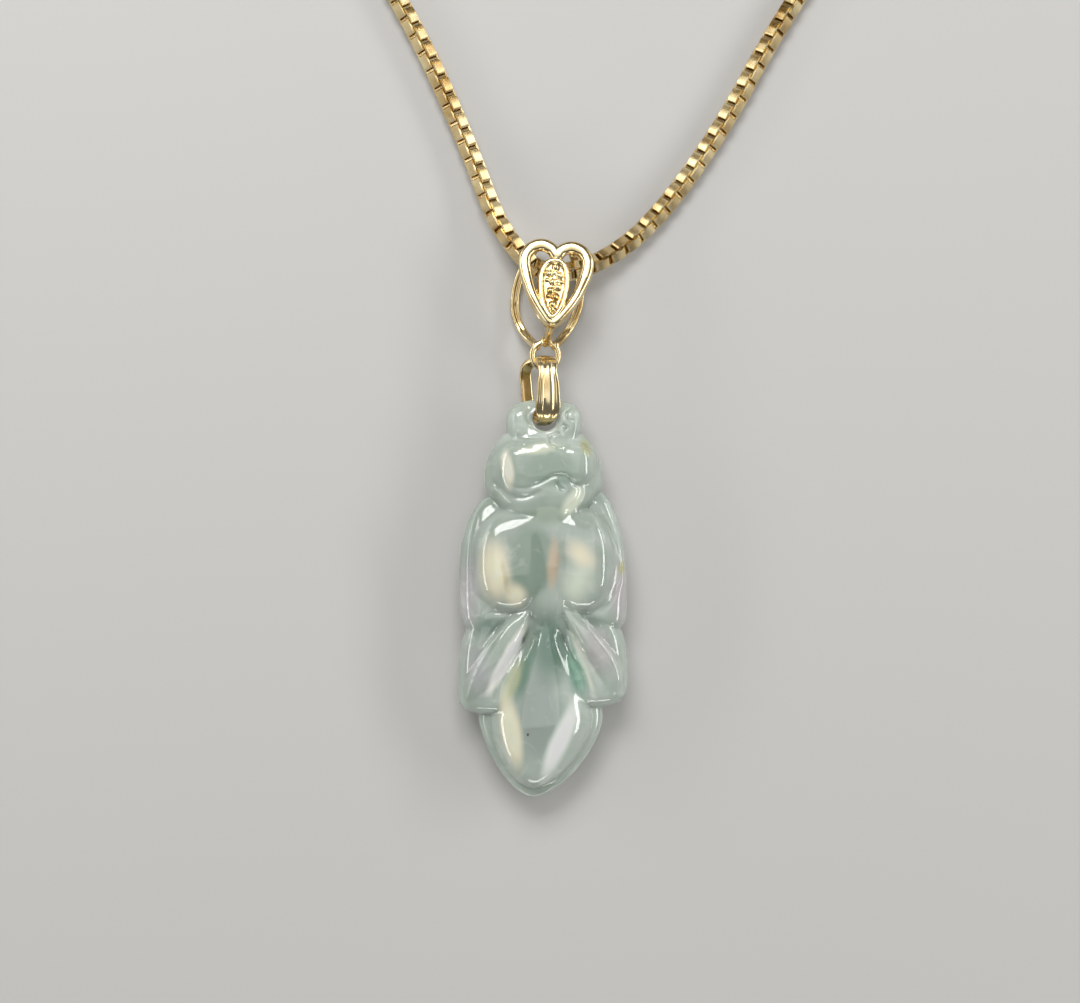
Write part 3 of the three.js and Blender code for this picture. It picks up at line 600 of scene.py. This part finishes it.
def makeEndRing():
    """A round wire ring, leaning through the clasp's opening."""
    angle = np.linspace(0, 2 * math.pi, 72, endpoint=False)
    lean = clasp["ringTilt"]
    radius, wire = clasp["ringRadius"], clasp["ringWire"]
    flat = np.stack([np.cos(angle), np.sin(angle) * math.cos(lean), np.sin(angle) * math.sin(lean)], axis=-1)
    middle = np.array([clasp["ringX"], clasp["y"], radius * math.sin(lean) + wire])
    path = middle + radius * flat
    normal = (0, -math.sin(lean), math.cos(lean))
    points = sweep(path, normal, wire, wire, around=16, power=2, closed=True)
    piece = makeObject("end_ring_wire", points, gridFaces(len(path), 16, wrapRows=True), castGold)
    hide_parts("end_ring")
    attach(piece, "root")
    return piece


claspBody = makeClasp()
endRingWire = makeEndRing()
makeChain("left", ["chain_left_strand", "chain_left_coil", "chain_left_end"])
makeChain("right", ["chain_right_strand", "chain_right_coil", "chain_right_end"])


# jade goldfish

jade = {
    "edgeLevel": 2.85, "crease": 10, "backCrease": 4,
    "rows": 470, "front": 150, "back": 44, "endMargin": 0.02,
}


def jadeForm(x, y, wide, up, down, tall, deep, upper=(2, 0.5), lower=(2, 0.5), lean=0, bend=0, crown=1, flat=2.4):
    """One rounded form of the carving: it stands at (x, y), reaches up and down from there, and
    bulges tall in front of the outline and deep behind it."""
    return {
        "x": x, "y": y, "wide": wide, "up": up, "down": down, "tall": tall, "deep": deep,
        "upper": upper, "lower": lower, "lean": lean, "bend": bend, "crown": crown, "flat": flat,
    }


jadeForms = {
    "snout": jadeForm(0.08, 8.6, 3.45, 2.1, 3, 1.75, 1.5, upper=(3, 0.4)),
    "brow": jadeForm(0.1, 7.3, 3, 1.7, 2.4, 2.2, 1, crown=0.7, flat=2.6),
    "leftEye": jadeForm(-2.05, 8.75, 1.3, 1.4, 2.4, 1.9, 1, crown=0.5, flat=3),
    "rightEye": jadeForm(2.2, 8.75, 1.3, 1.4, 2.4, 1.9, 1, crown=0.5, flat=3),
    "head": jadeForm(0.05, 3.6, 5.32, 5.2, 3.9, 2.75, 2.5, upper=(2.1, 0.5)),
    "hood": jadeForm(0.05, 4.4, 4.75, 2.9, 1.55, 3, 1, crown=0.45, upper=(5, 0.5)),
    "leftScallop": jadeForm(-2, 4, 2.9, 2.6, 2.15, 3, 1, crown=0.4, upper=(5, 0.5)),
    "rightScallop": jadeForm(2.9, 4.2, 2, 2.4, 1.35, 2.95, 1, crown=0.4, upper=(5, 0.5)),
    "chin": jadeForm(0.05, 2.2, 4.6, 2, 2.5, 2.9, 1, crown=0.3, flat=3),
    "trunk": jadeForm(0.1, -2.6, 5.4, 4.2, 6.8, 2.85, 2.9, crown=0.7, upper=(5, 0.5)),
    "tailRoot": jadeForm(0.15, -7.2, 2.1, 2.6, 3.2, 2.4, 1, flat=3, crown=0.5, lower=(1.6, 1)),
    "tailBed": jadeForm(0.1, -9.3, 2.4, 2.4, 3.4, 1.6, 1, flat=3, crown=0.3),
    "leftFlank": jadeForm(-3, -4, 3.6, 4.9, 4.6, 3.19, 3.1, crown=0.6, flat=3.4, upper=(2.5, 0.5), lower=(2.4, 0.5)),
    "rightFlank": jadeForm(3.4, -4, 3.1, 4.9, 4.6, 3.19, 3.1, crown=0.6, flat=3.4, upper=(2.5, 0.5), lower=(2.4, 0.5)),
    "leftFin": jadeForm(-4.5, -5, 3.04, 7, 5.5, 1.75, 1.7, flat=2.8, lower=(5, 0.3)),
    "rightFin": jadeForm(4.5, -6.5, 3.09, 9.2, 4, 1.75, 1.7, flat=2.8, lower=(5, 0.35)),
    "leftTailLobe": jadeForm(-4.4, -14.3, 3.24, 7.2, 3.3, 1.95, 1.6, flat=3, lower=(6, 0.4)),
    "rightTailLobe": jadeForm(4.4, -13.2, 3.24, 5.65, 3.8, 1.95, 1.6, flat=3, lower=(5, 0.4)),
    "leftPetal": jadeForm(-4.3, -12.2, 1.8, 6, 4.3, 2.4, 1, lean=0.62, crown=0.4, flat=3.2,
        upper=(1.7, 0.9), lower=(2, 0.7)),
    "rightPetal": jadeForm(5, -12.1, 1.55, 5.9, 4, 2.4, 1, lean=-0.7, bend=-1.5, crown=0.4, flat=3.2,
        upper=(1.7, 0.9), lower=(2, 0.7)),
    "leafRim": jadeForm(-0.19, -18, 5.6, 9.8, 7.05, 1.2, 1.2, bend=-0.63, flat=5, upper=(2, 1.3), lower=(1.4, 0.6)),
    "leaf": jadeForm(-0.19, -17.9, 4.7, 9.1, 6.35, 2.85, 2.2, lean=0.043, bend=-0.5, crown=0.4,
        upper=(1.3, 0.8), lower=(1.7, 0.62)),
}

# Shallow polished grooves: the points that each follows, its depth and its half width. Their
# lower sides catch the light as bright lines. The pearls on the left cheek stand out instead.
jadeGrooves = {
    "hoodEdge": ([(-3.35, 3.15), (-2.6, 2.8), (-1.8, 2.72), (-1.1, 2.95), (-0.5, 3.2), (0.1, 3.5), (0.6, 3.75),
        (1.2, 3.88), (1.85, 3.8), (2.3, 3.45), (2.75, 3.05), (3.4, 3.2), (4, 3.5), (4.4, 3.75)], 0.17, 0.2),
    "hoodStep": ([(-4.5, 3.4), (-3.8, 2.5), (-2.95, 1.98), (-2.0, 1.9), (-1.2, 2.12), (-0.5, 2.47)], 0.18, 0.22),
    "chinLeft": ([(-4.45, 1.4), (-3.85, 0.95), (-3.1, 0.6), (-2.15, 0.4), (-1.25, 0.32), (-0.9, 0.45)], 0.16, 0.24),
    "chinRight": ([(2.85, 3.1), (3.2, 2.5), (2.85, 1.6), (2.2, 0.85), (1.85, 0.2), (1.3, -0.3)], 0.12, 0.24),
    "cheekDimple": ([(1.05, 3.3), (1.15, 2.95), (1.4, 2.7), (1.75, 2.65)], 0.16, 0.18),
    "eyeRing": ([(2.85, 9.75), (2.45, 9.88), (2.05, 9.6), (1.98, 9.2), (2.2, 8.85), (2.65, 8.8)], 0.22, 0.15),
    "eyeDot": ([(1.55, 8.25), (1.75, 8.45), (1.98, 8.2), (1.75, 7.98), (1.55, 8.2)], 0.2, 0.12),
    "browRing": ([(1.6, 7.55), (1.1, 7.7), (0.55, 7.45), (0.4, 6.95), (0.65, 6.45), (1.2, 6.25), (1.6, 6.4)],
        0.22, 0.16),
    "cheekPearlLow": ([(-2.3, 6.75), (-1.9, 6.85)], -0.22, 0.42),
    "cheekPearlMiddle": ([(-2.5, 7.7), (-2.3, 7.75)], -0.1, 0.22),
    "holeArc": ([(-1.25, 9.95), (-1.62, 9.5), (-1.7, 9.0), (-1.5, 8.5), (-1.15, 8.2)], 0.18, 0.16),
    "shoulderRight": ([(4.76, 0.75), (5.1, 0.1), (5.6, -0.7), (6.2, -1.9), (6.6, -2.9)], 0.28, 0.36),
    "leftFinLine": ([(-5.7, 1.1), (-6.2, -1.0), (-6.4, -3.0), (-6.3, -6.2), (-5.5, -7.5), (-5.45, -8.4), (-6.0, -9.3)],
        0.16, 0.22),
    "rightFinLine": ([(6.5, -2.4), (6.8, -3.6), (6.9, -5.1), (6.5, -6.4), (5.9, -7.5), (5.1, -8.3)], 0.16, 0.22),
    "flankArc": ([(-1.2, -0.6), (-2.35, -1.2), (-3.3, -2.2), (-3.8, -3.65), (-4.0, -5.1), (-3.65, -6.2), (-3.0, -7.0)],
        0.05, 0.2),
    "flankHem": ([(-5.1, -8.6), (-4.8, -8.4), (-3.6, -8.35), (-2.35, -8.15), (-1.55, -7.55), (-0.9, -6.8),
        (-0.5, -6.2)], 0.18, 0.24),
    "petalLeftRidge": ([(-5.75, -11.45), (-4.8, -10.4), (-3.8, -9.4), (-2.35, -8.6), (-1.5, -7.9), (-0.8, -7.0)],
        0.14, 0.24),
    "petalRightRidge": ([(1.9, -7.9), (2.3, -8.25), (3.0, -9.0), (3.7, -9.5), (4.4, -10.0)], 0.14, 0.22),
    "lobeRightRim": ([(5.2, -9.25), (5.9, -9.5), (6.5, -9.85), (7.0, -10.7), (7.3, -11.8)], 0.14, 0.24),
    "leafLeftEdge": ([(-0.8, -9.2), (-1.55, -10.5), (-2.9, -12.8), (-4.1, -14.6), (-4.4, -16.3)], 0.22, 0.2),
    "leafRightEdge": ([(1.05, -9.3), (1.75, -10.8), (2.4, -12.2), (3.65, -14.3), (4.05, -16.8)], 0.22, 0.2),
    "petalRightLine": ([(2.4, -9.9), (3.3, -12.2), (4.1, -14.3), (5.0, -16.6)], 0.12, 0.2),
    "leafRimLine": ([(-4.75, -17.6), (-4.6, -18.96), (-3.85, -20.98), (-2.97, -22.5), (-2.21, -23.5), (-1.2, -24.2),
        (-0.57, -24.33), (0.57, -23.95), (1.58, -23.5), (2.71, -22.25), (3.6, -20.86), (4.23, -19.34),
        (4.5, -17.4)], 0.2, 0.16),
}


def formSpread(form, y):
    """A form's middle and its share of full width at height y: (1 - u ^ n) ^ p, where u is how
    far y is from the form's own height, as a share of its reach."""
    along = y - form["y"]
    above = along > 0
    u = np.abs(along) / np.where(above, form["up"], form["down"])
    n = np.where(above, form["upper"][0], form["lower"][0])
    p = np.where(above, form["upper"][1], form["lower"][1])
    width = np.clip(1 - np.minimum(u, 1) ** n, 0, 1) ** p
    middle = form["x"] + form["lean"] * along + np.where(above, 0, form["bend"] * u**2)
    return middle, width


def swell(x, y, side, crease):
    """How far the surface stands from the outline's level: the power mean of all forms, each
    one side * width ^ crown * sqrt(1 - off ^ flat) at a share off of its half width."""
    total = np.zeros(np.broadcast(x, y).shape)
    for form in jadeForms.values():
        middle, width = formSpread(form, y)
        off = np.abs(x - middle) / np.maximum(form["wide"] * width, 1e-9)
        bulge = form[side] * width ** form["crown"] * np.sqrt(np.clip(1 - np.minimum(off, 1) ** form["flat"], 0, 1))
        total += np.where(width > 0, bulge, 0) ** crease
    return total ** (1 / crease)


def grooveDepth(x, y):
    """The depth of all grooves: each is depth * exp(-(distance / half width) ^ 2), faded out
    towards its two ends."""
    depth = np.zeros(np.broadcast(x, y).shape)
    for points, deep, half in jadeGrooves.values():
        line = smoothPath([(px, py, 0) for px, py in points], perSpan=10)[:, :2]
        fade = np.sin(np.linspace(0, math.pi, len(line))) ** 0.5
        apart = (x[..., None] - line[:, 0]) ** 2 + (y[..., None] - line[:, 1]) ** 2
        cut = fade * np.exp(-apart / half**2)
        depth += deep * cut.max(axis=-1)
    return depth


def jadeOutline(y):
    """The outline's left and right edge at height y."""
    left = np.full(y.shape, np.inf)
    right = np.full(y.shape, -np.inf)
    for form in jadeForms.values():
        middle, width = formSpread(form, y)
        live = width > 0
        left = np.where(live, np.minimum(left, middle - form["wide"] * width), left)
        right = np.where(live, np.maximum(right, middle + form["wide"] * width), right)
    return left, right


def jadeSurface():
    """Rows from the snout to the tail tip, each running over the front from left to right and
    back underneath. The underside is flat where it would pass below the table."""
    top = max(form["y"] + form["up"] for form in jadeForms.values())
    tip = min(form["y"] - form["down"] for form in jadeForms.values())
    share = np.linspace(0, 1, jade["rows"])
    eased = share - 0.13 * np.sin(2 * math.pi * share) / (2 * math.pi) * 4
    y = (top - jade["endMargin"]) + (tip - top + 2 * jade["endMargin"]) * eased
    left, right = jadeOutline(y)
    middle, half = (left + right) / 2, (right - left) / 2
    frontTurn = np.arange(jade["front"]) * math.pi / jade["front"]
    backTurn = np.arange(jade["back"]) * math.pi / jade["back"]
    frontX = middle[:, None] - half[:, None] * np.cos(frontTurn)
    backX = middle[:, None] + half[:, None] * np.cos(backTurn)
    frontY = np.broadcast_to(y[:, None], frontX.shape)
    backY = np.broadcast_to(y[:, None], backX.shape)
    rise = swell(frontX, frontY, "tall", jade["crease"])
    cut = grooveDepth(frontX, frontY) * np.clip(rise / 1.2, 0, 1)
    frontZ = jade["edgeLevel"] + rise - cut
    backZ = np.maximum(0, jade["edgeLevel"] - swell(backX, backY, "deep", jade["backCrease"]))
    front = np.stack([frontX, frontY, frontZ], axis=-1)
    back = np.stack([backX, backY, backZ], axis=-1)
    return np.concatenate([front, back], axis=1)


hole = {"x": 0.08, "y": 8.95, "radius": 1.1, "lipRadius": 1.42, "backLevel": 1.35, "frontLevel": 4.55, "around": 96}


def holeCutter():
    """A pin with a rounded flare at both faces: its radius grows by a quarter circle."""
    lip = hole["lipRadius"] - hole["radius"]
    turn = np.linspace(0, math.pi / 2, 9)
    flareR = hole["lipRadius"] - lip * np.sin(turn)
    backH = hole["backLevel"] + lip * (1 - np.cos(turn))
    frontH = hole["frontLevel"] - lip * (1 - np.cos(turn))
    heights = np.concatenate([[-1], backH, frontH[::-1], [8]])
    radii = np.concatenate([[hole["lipRadius"]], flareR, flareR[::-1], [hole["lipRadius"]]])
    angle = -np.linspace(0, 2 * math.pi, hole["around"], endpoint=False)
    x = hole["x"] + radii[:, None] * np.cos(angle)
    y = hole["y"] + radii[:, None] * np.sin(angle)
    points = np.stack([x, y, np.broadcast_to(heights[:, None], x.shape)], axis=-1)
    cutter = makeObject("hole cutter", capRows(points), gridFaces(len(heights) + 2, hole["around"]), jadeStone)
    weld(cutter)
    return cutter


def makeJade():
    surface = capRows(jadeSurface())
    piece = makeObject("jade_carving", surface, gridFaces(surface.shape[0], surface.shape[1]), jadeStone)
    weld(piece)
    cutter = holeCutter()
    cut = piece.modifiers.new("hole", "BOOLEAN")
    cut.operation = "DIFFERENCE"
    cut.solver = "EXACT"
    cut.object = cutter
    applyModifiers(piece)
    bpy.data.objects.remove(cutter)
    softShade(piece, 80)
    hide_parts("jade_goldfish")
    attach(piece, "root")
    print("jade:", len(piece.data.polygons), "faces")
    return piece


makeJade()


# drop ring

dropRing = {
    "place": (0.0, 11.5, 2.95), "halfHeight": 2.92, "halfDepth": 2.38, "squareness": 3, "turn": 0.12,
    "thickness": 0.52, "steps": 288, "around": 72,
    # half width and sideways bend at even steps round the ring
    "halfWidths": [0.42, 0.85, 0.9, 0.82, 1.02, 1.12, 0.9, 0.6, 0.5, 0.5, 0.5, 0.52, 0.52, 0.52, 0.5, 0.44],
    "bends": [0, 0, 0, 0, 0, 0, 0, 0, 0, -0.05, -0.3, -0.75, -1.05, -1.2, -1.05, -0.5],
    # flutes on the front: place across the band, width and depth, each as a share
    "flutes": [(-0.22, 0.17, 0.2), (0.5, 0.12, 0.13), (-0.75, 0.1, 0.07)],
}


def valuesAround(values, count):
    """Values at even steps of a loop as a smooth closed curve with count points."""
    column = np.array(values, dtype=float)
    curve = smoothPath(np.stack([column, 0 * column, 0 * column], axis=-1), count // len(values), closed=True)
    return curve[:, 0]


def makeDropRing():
    """A band round a superellipse in the YZ plane that bends sideways behind the jade. Its outer
    face is pressed in along the flutes, which are deepest down the front."""
    turn = np.linspace(0, 2 * math.pi, dropRing["steps"], endpoint=False)
    power = 2 / dropRing["squareness"]
    y = dropRing["halfHeight"] * np.sign(np.cos(turn)) * np.abs(np.cos(turn)) ** power
    z = dropRing["halfDepth"] * np.sign(np.sin(turn)) * np.abs(np.sin(turn)) ** power
    bend = valuesAround(dropRing["bends"], dropRing["steps"])
    half = valuesAround(dropRing["halfWidths"], dropRing["steps"])
    path = np.stack([bend, y, z], axis=-1)
    tangent = directions(path, closed=True)
    side = np.array([1.0, 0, 0])
    across = unit(side - tangent * (tangent @ side)[:, None])
    out = np.cross(across, tangent)
    angle = np.linspace(0, 2 * math.pi, dropRing["around"], endpoint=False)
    w = np.sign(np.cos(angle)) * np.abs(np.cos(angle)) ** 0.45
    t = np.sign(np.sin(angle)) * np.abs(np.sin(angle)) ** 0.45
    outward = np.sign(np.sum(out * path, axis=-1))[:, None]
    pressed = sum(deep * np.exp(-(((w - at) / wide) ** 2)) for at, wide, deep in dropRing["flutes"])
    front = np.clip(np.sin(turn - 0.15), 0, 1)[:, None]
    face = np.clip(outward * t[None], 0, 1) ** 2
    rounding = 0.1 * w[None] ** 2 * face
    thick = dropRing["thickness"] / 2 * t[None] - outward * (front * pressed[None] + rounding) * face
    points = path[:, None] + across[:, None] * (w[None] * half[:, None])[..., None] + out[:, None] * thick[..., None]
    c, s = math.cos(dropRing["turn"]), math.sin(dropRing["turn"])
    turned = np.stack([points[..., 0] * c + points[..., 2] * s, points[..., 1], points[..., 2] * c - points[..., 0] * s], axis=-1)
    faces = gridFaces(dropRing["steps"], dropRing["around"], wrapRows=True)
    piece = makeObject("drop_ring_band", turned + np.array(dropRing["place"]), faces, castGold, 50)
    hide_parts("drop_ring")
    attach(piece, "root")
    return piece


makeDropRing()


# heart bail

bail = {
    "tip": (0.6, 17.35), "lean": 0.09, "tipLevel": 5.38, "tilt": 0.25,
    "lobeWidth": 1.12, "tipWidth": 0.85, "lobeDepth": 1.0, "tipDepth": 1.7,
    # right half of the heart from its tip: how far out, how far up and how far back
    "half": [
        (0, 0.15, 0.35), (0.95, 1, 0.25), (2.1, 2.95, 0.05), (2.85, 5.6, 0), (2.4, 6.9, 0), (1.42, 7.36, 0),
        (0.52, 7.08, 0), (0, 6.55, 0),
    ],
    "leafMiddle": (0.86, 21.35), "leafUp": 1.9, "leafDown": 3.4, "leafHalfWidth": 1.2, "leafLean": 0.06,
    "leafRim": 0.56, "leafRimDepth": 0.95, "leafRimLevel": 0.05, "leafPlateLevel": -0.4, "leafPlate": 0.5,
    "strapWidth": 0.8, "strapThickness": 0.66, "strapGroove": 0.12,
    "leftStrap": [
        (-0.2, 24.5, 3.5), (-0.3, 24.6, 2.5), (-0.7, 24.3, 1.2), (-1.45, 23.1, 0.6), (-2.1, 21.5, 0.5),
        (-2.4, 19.9, 0.5), (-2.33, 18.5, 0.55), (-1.8, 17.1, 0.85), (-1.1, 16.1, 1.7), (-0.6, 15.6, 2.7),
    ],
    "rightStrap": [
        (2.5, 24.2, 3.5), (2.6, 24.35, 2.5), (2.85, 23.9, 1.2), (3.3, 22.7, 0.6), (3.58, 21.1, 0.5),
        (3.45, 19.5, 0.5), (3, 18.1, 0.55), (2.35, 16.95, 0.85), (1.65, 16.1, 1.7), (1.1, 15.6, 2.7),
    ],
    "keel": [(0.6, 17.5, 4.9), (0.5, 16.95, 4.4), (0.4, 16.4, 3.7), (0.3, 15.9, 2.95)],
    "shoulders": [(-0.6, 15.55, 2.75), (1.1, 15.55, 2.75)], "shoulderRadius": 0.45,
    "eye": (0.2, 14.7, 2.9), "eyeRadius": 1.17, "eyeWire": 0.3,
    "knot": (0.27, 15.95, 2.85), "knotRadius": 0.55,
    # grains on the leaf: how far out, how far up, radius
    "grains": [
        (0.1, 1.3, 0.36), (-0.4, 0.7, 0.36), (0.45, 0.5, 0.34), (-0.1, -0.1, 0.33), (0.38, -0.6, 0.33),
        (-0.25, -0.9, 0.34), (0.15, -1.5, 0.34), (-0.05, -2.2, 0.33), (-0.6, 0.1, 0.2), (0.65, -0.1, 0.2),
        (-0.45, -1.4, 0.2), (0.1, 0.8, 0.22), (-0.05, -1.2, 0.2), (0.3, 0.0, 0.2), (0.05, -2.7, 0.24),
    ],
    "voxel": 0.055,
}


def heartPoint(out, up, back):
    """A point of the heart from how far it is out to the side, up from the tip and back."""
    slope = math.hypot(1, bail["lean"])
    x = bail["tip"][0] + (out + up * bail["lean"]) / slope
    y = bail["tip"][1] + (up - out * bail["lean"]) / slope
    return (x, y, -back)


def leanBack(points):
    """Turns a flat part of the heart back about its tip and lifts it to its place."""
    c, s = math.cos(bail["tilt"]), math.sin(bail["tilt"])
    tipY = bail["tip"][1]
    y, z = points[..., 1] - tipY, points[..., 2]
    return np.stack([points[..., 0], tipY + y * c + z * s, bail["tipLevel"] + z * c - y * s], axis=-1)


def ball(middle, radius, stretch=(1, 1, 1), around=24):
    """A sphere as a capped grid: rows of latitude from pole to pole."""
    tilt = np.linspace(0.12, math.pi - 0.12, around // 2)[:, None]
    turn = -np.linspace(0, 2 * math.pi, around, endpoint=False)[None]
    shape = np.stack([np.sin(tilt) * np.cos(turn), np.sin(tilt) * np.sin(turn), -np.cos(tilt) + 0 * turn], axis=-1)
    return capRows(np.array(middle) + radius * shape * np.array(stretch))


def leafLine(turn, share=1.0):
    """The leaf's outline at each turn, drawn in to a share of its size. Its width goes with
    sin ^ 0.8 above the middle, for a round end, and with sin ^ 1.3 below it, for a point."""
    above = np.cos(turn) > 0
    up = np.where(above, bail["leafUp"], bail["leafDown"]) * np.cos(turn) * share
    side = np.sign(np.sin(turn)) * np.abs(np.sin(turn)) ** np.where(above, 0.8, 1.3)
    x, y = bail["leafMiddle"]
    return np.stack([x + bail["leafHalfWidth"] * side * share + up * bail["leafLean"], y + up, 0 * turn], axis=-1)


def leafPlate(turn):
    """A thin closed plate as six rows: middle, edge below, edge above and middle again."""
    low, high = bail["leafPlateLevel"], bail["leafPlateLevel"] + bail["leafPlate"]
    rows = [(0.3, low), (1.0, low), (1.0, high), (0.6, high + 0.03), (0.3, high + 0.05)]
    return capRows(np.stack([leafLine(-turn, share) + (0, 0, level) for share, level in rows]))


def bailParts():
    """The closed surfaces that are cast together: each one is (points, closes on itself)."""
    upward = (0, 0, 1)
    right = [heartPoint(out, up, back) for out, up, back in bail["half"]]
    left = [heartPoint(-out, up, back) for out, up, back in bail["half"][-2:0:-1]]
    heart = evenly(smoothPath(right + left, 24, closed=True), 240, closed=True)
    lobe = np.minimum(1, 2 * np.sin(math.pi * np.arange(240) / 240) ** 2)
    width = bail["tipWidth"] + (bail["lobeWidth"] - bail["tipWidth"]) * lobe
    depth = bail["tipDepth"] + (bail["lobeDepth"] - bail["tipDepth"]) * lobe
    parts = [(leanBack(sweep(heart, upward, depth / 2, width / 2, 28, 2.6, True)), True)]
    turn = np.linspace(0, 2 * math.pi, 160, endpoint=False)
    rim = leafLine(turn) + (0, 0, bail["leafRimLevel"])
    parts.append((leanBack(sweep(rim, upward, bail["leafRimDepth"] / 2, bail["leafRim"] / 2, 20, 2.2, True)), True))
    parts.append((leanBack(leafPlate(turn)), False))
    for name in ("leftStrap", "rightStrap"):
        line = evenly(smoothPath(bail[name]), 140)
        band = sweep(line, (1, 0, 0), bail["strapWidth"] / 2, bail["strapThickness"] / 2, 32, 2.6)
        parts.append((capRows(groove(band, line, bail["strapGroove"])), False))
    keel = evenly(smoothPath(bail["keel"]), 30)
    parts.append((capRows(sweep(keel, (1, 0, 0), 0.36, 0.42, 20, 2.2)), False))
    eyeX, eyeY, eyeZ = bail["eye"]
    eyeLine = np.stack([
        eyeX + bail["eyeRadius"] * np.cos(turn), eyeY + bail["eyeRadius"] * np.sin(turn), np.full(160, eyeZ),
    ], axis=-1)
    parts.append((sweep(eyeLine, upward, bail["eyeWire"], bail["eyeWire"], 20, 2, True), True))
    parts.append((ball(bail["knot"], bail["knotRadius"]), False))
    for place in bail["shoulders"]:
        parts.append((ball(place, bail["shoulderRadius"]), False))
    leafX, leafY = bail["leafMiddle"]
    level = bail["leafPlateLevel"] + bail["leafPlate"]
    for out, up, radius in bail["grains"]:
        grain = ball((leafX + out + up * bail["leafLean"], leafY + up, level), radius, around=16)
        parts.append((leanBack(grain), False))
    return parts


def groove(band, line, deep):
    """Presses a lengthwise groove into both flat faces of a swept band: each point moves towards
    the middle line by deep * exp(-(across / quarter width) ^ 2)."""
    off = band - line[:, None]
    across = np.abs(off @ np.array([1.0, 0, 0])) / (bail["strapWidth"] / 4)
    reach = np.maximum(np.linalg.norm(off, axis=-1), 1e-6)
    return band - off / reach[..., None] * (deep * np.exp(-(across**2)))[..., None]


def makeBail():
    """All parts in one mesh, fused by a fine voxel remesh so that they flow into each other as
    in a casting."""
    vertices, faces, start = [], [], 0
    for points, wraps in bailParts():
        vertices.append(points.reshape(-1, 3))
        faces.append(gridFaces(points.shape[0], points.shape[1], wrapRows=wraps) + start)
        start += points.shape[0] * points.shape[1]
    piece = makeObject("heart_bail_casting", np.concatenate(vertices), np.concatenate(faces), castGold)
    weld(piece)
    remesh = piece.modifiers.new("fuse", "REMESH")
    remesh.mode = "VOXEL"
    remesh.voxel_size = bail["voxel"] * mm
    smooth = piece.modifiers.new("polish", "SMOOTH")
    smooth.factor = 0.5
    smooth.iterations = 2
    applyModifiers(piece)
    softShade(piece, 180)
    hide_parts("heart_bail")
    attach(piece, "root")
    print("bail:", len(piece.data.polygons), "faces")
    return piece


makeBail()

print("all pieces ready")
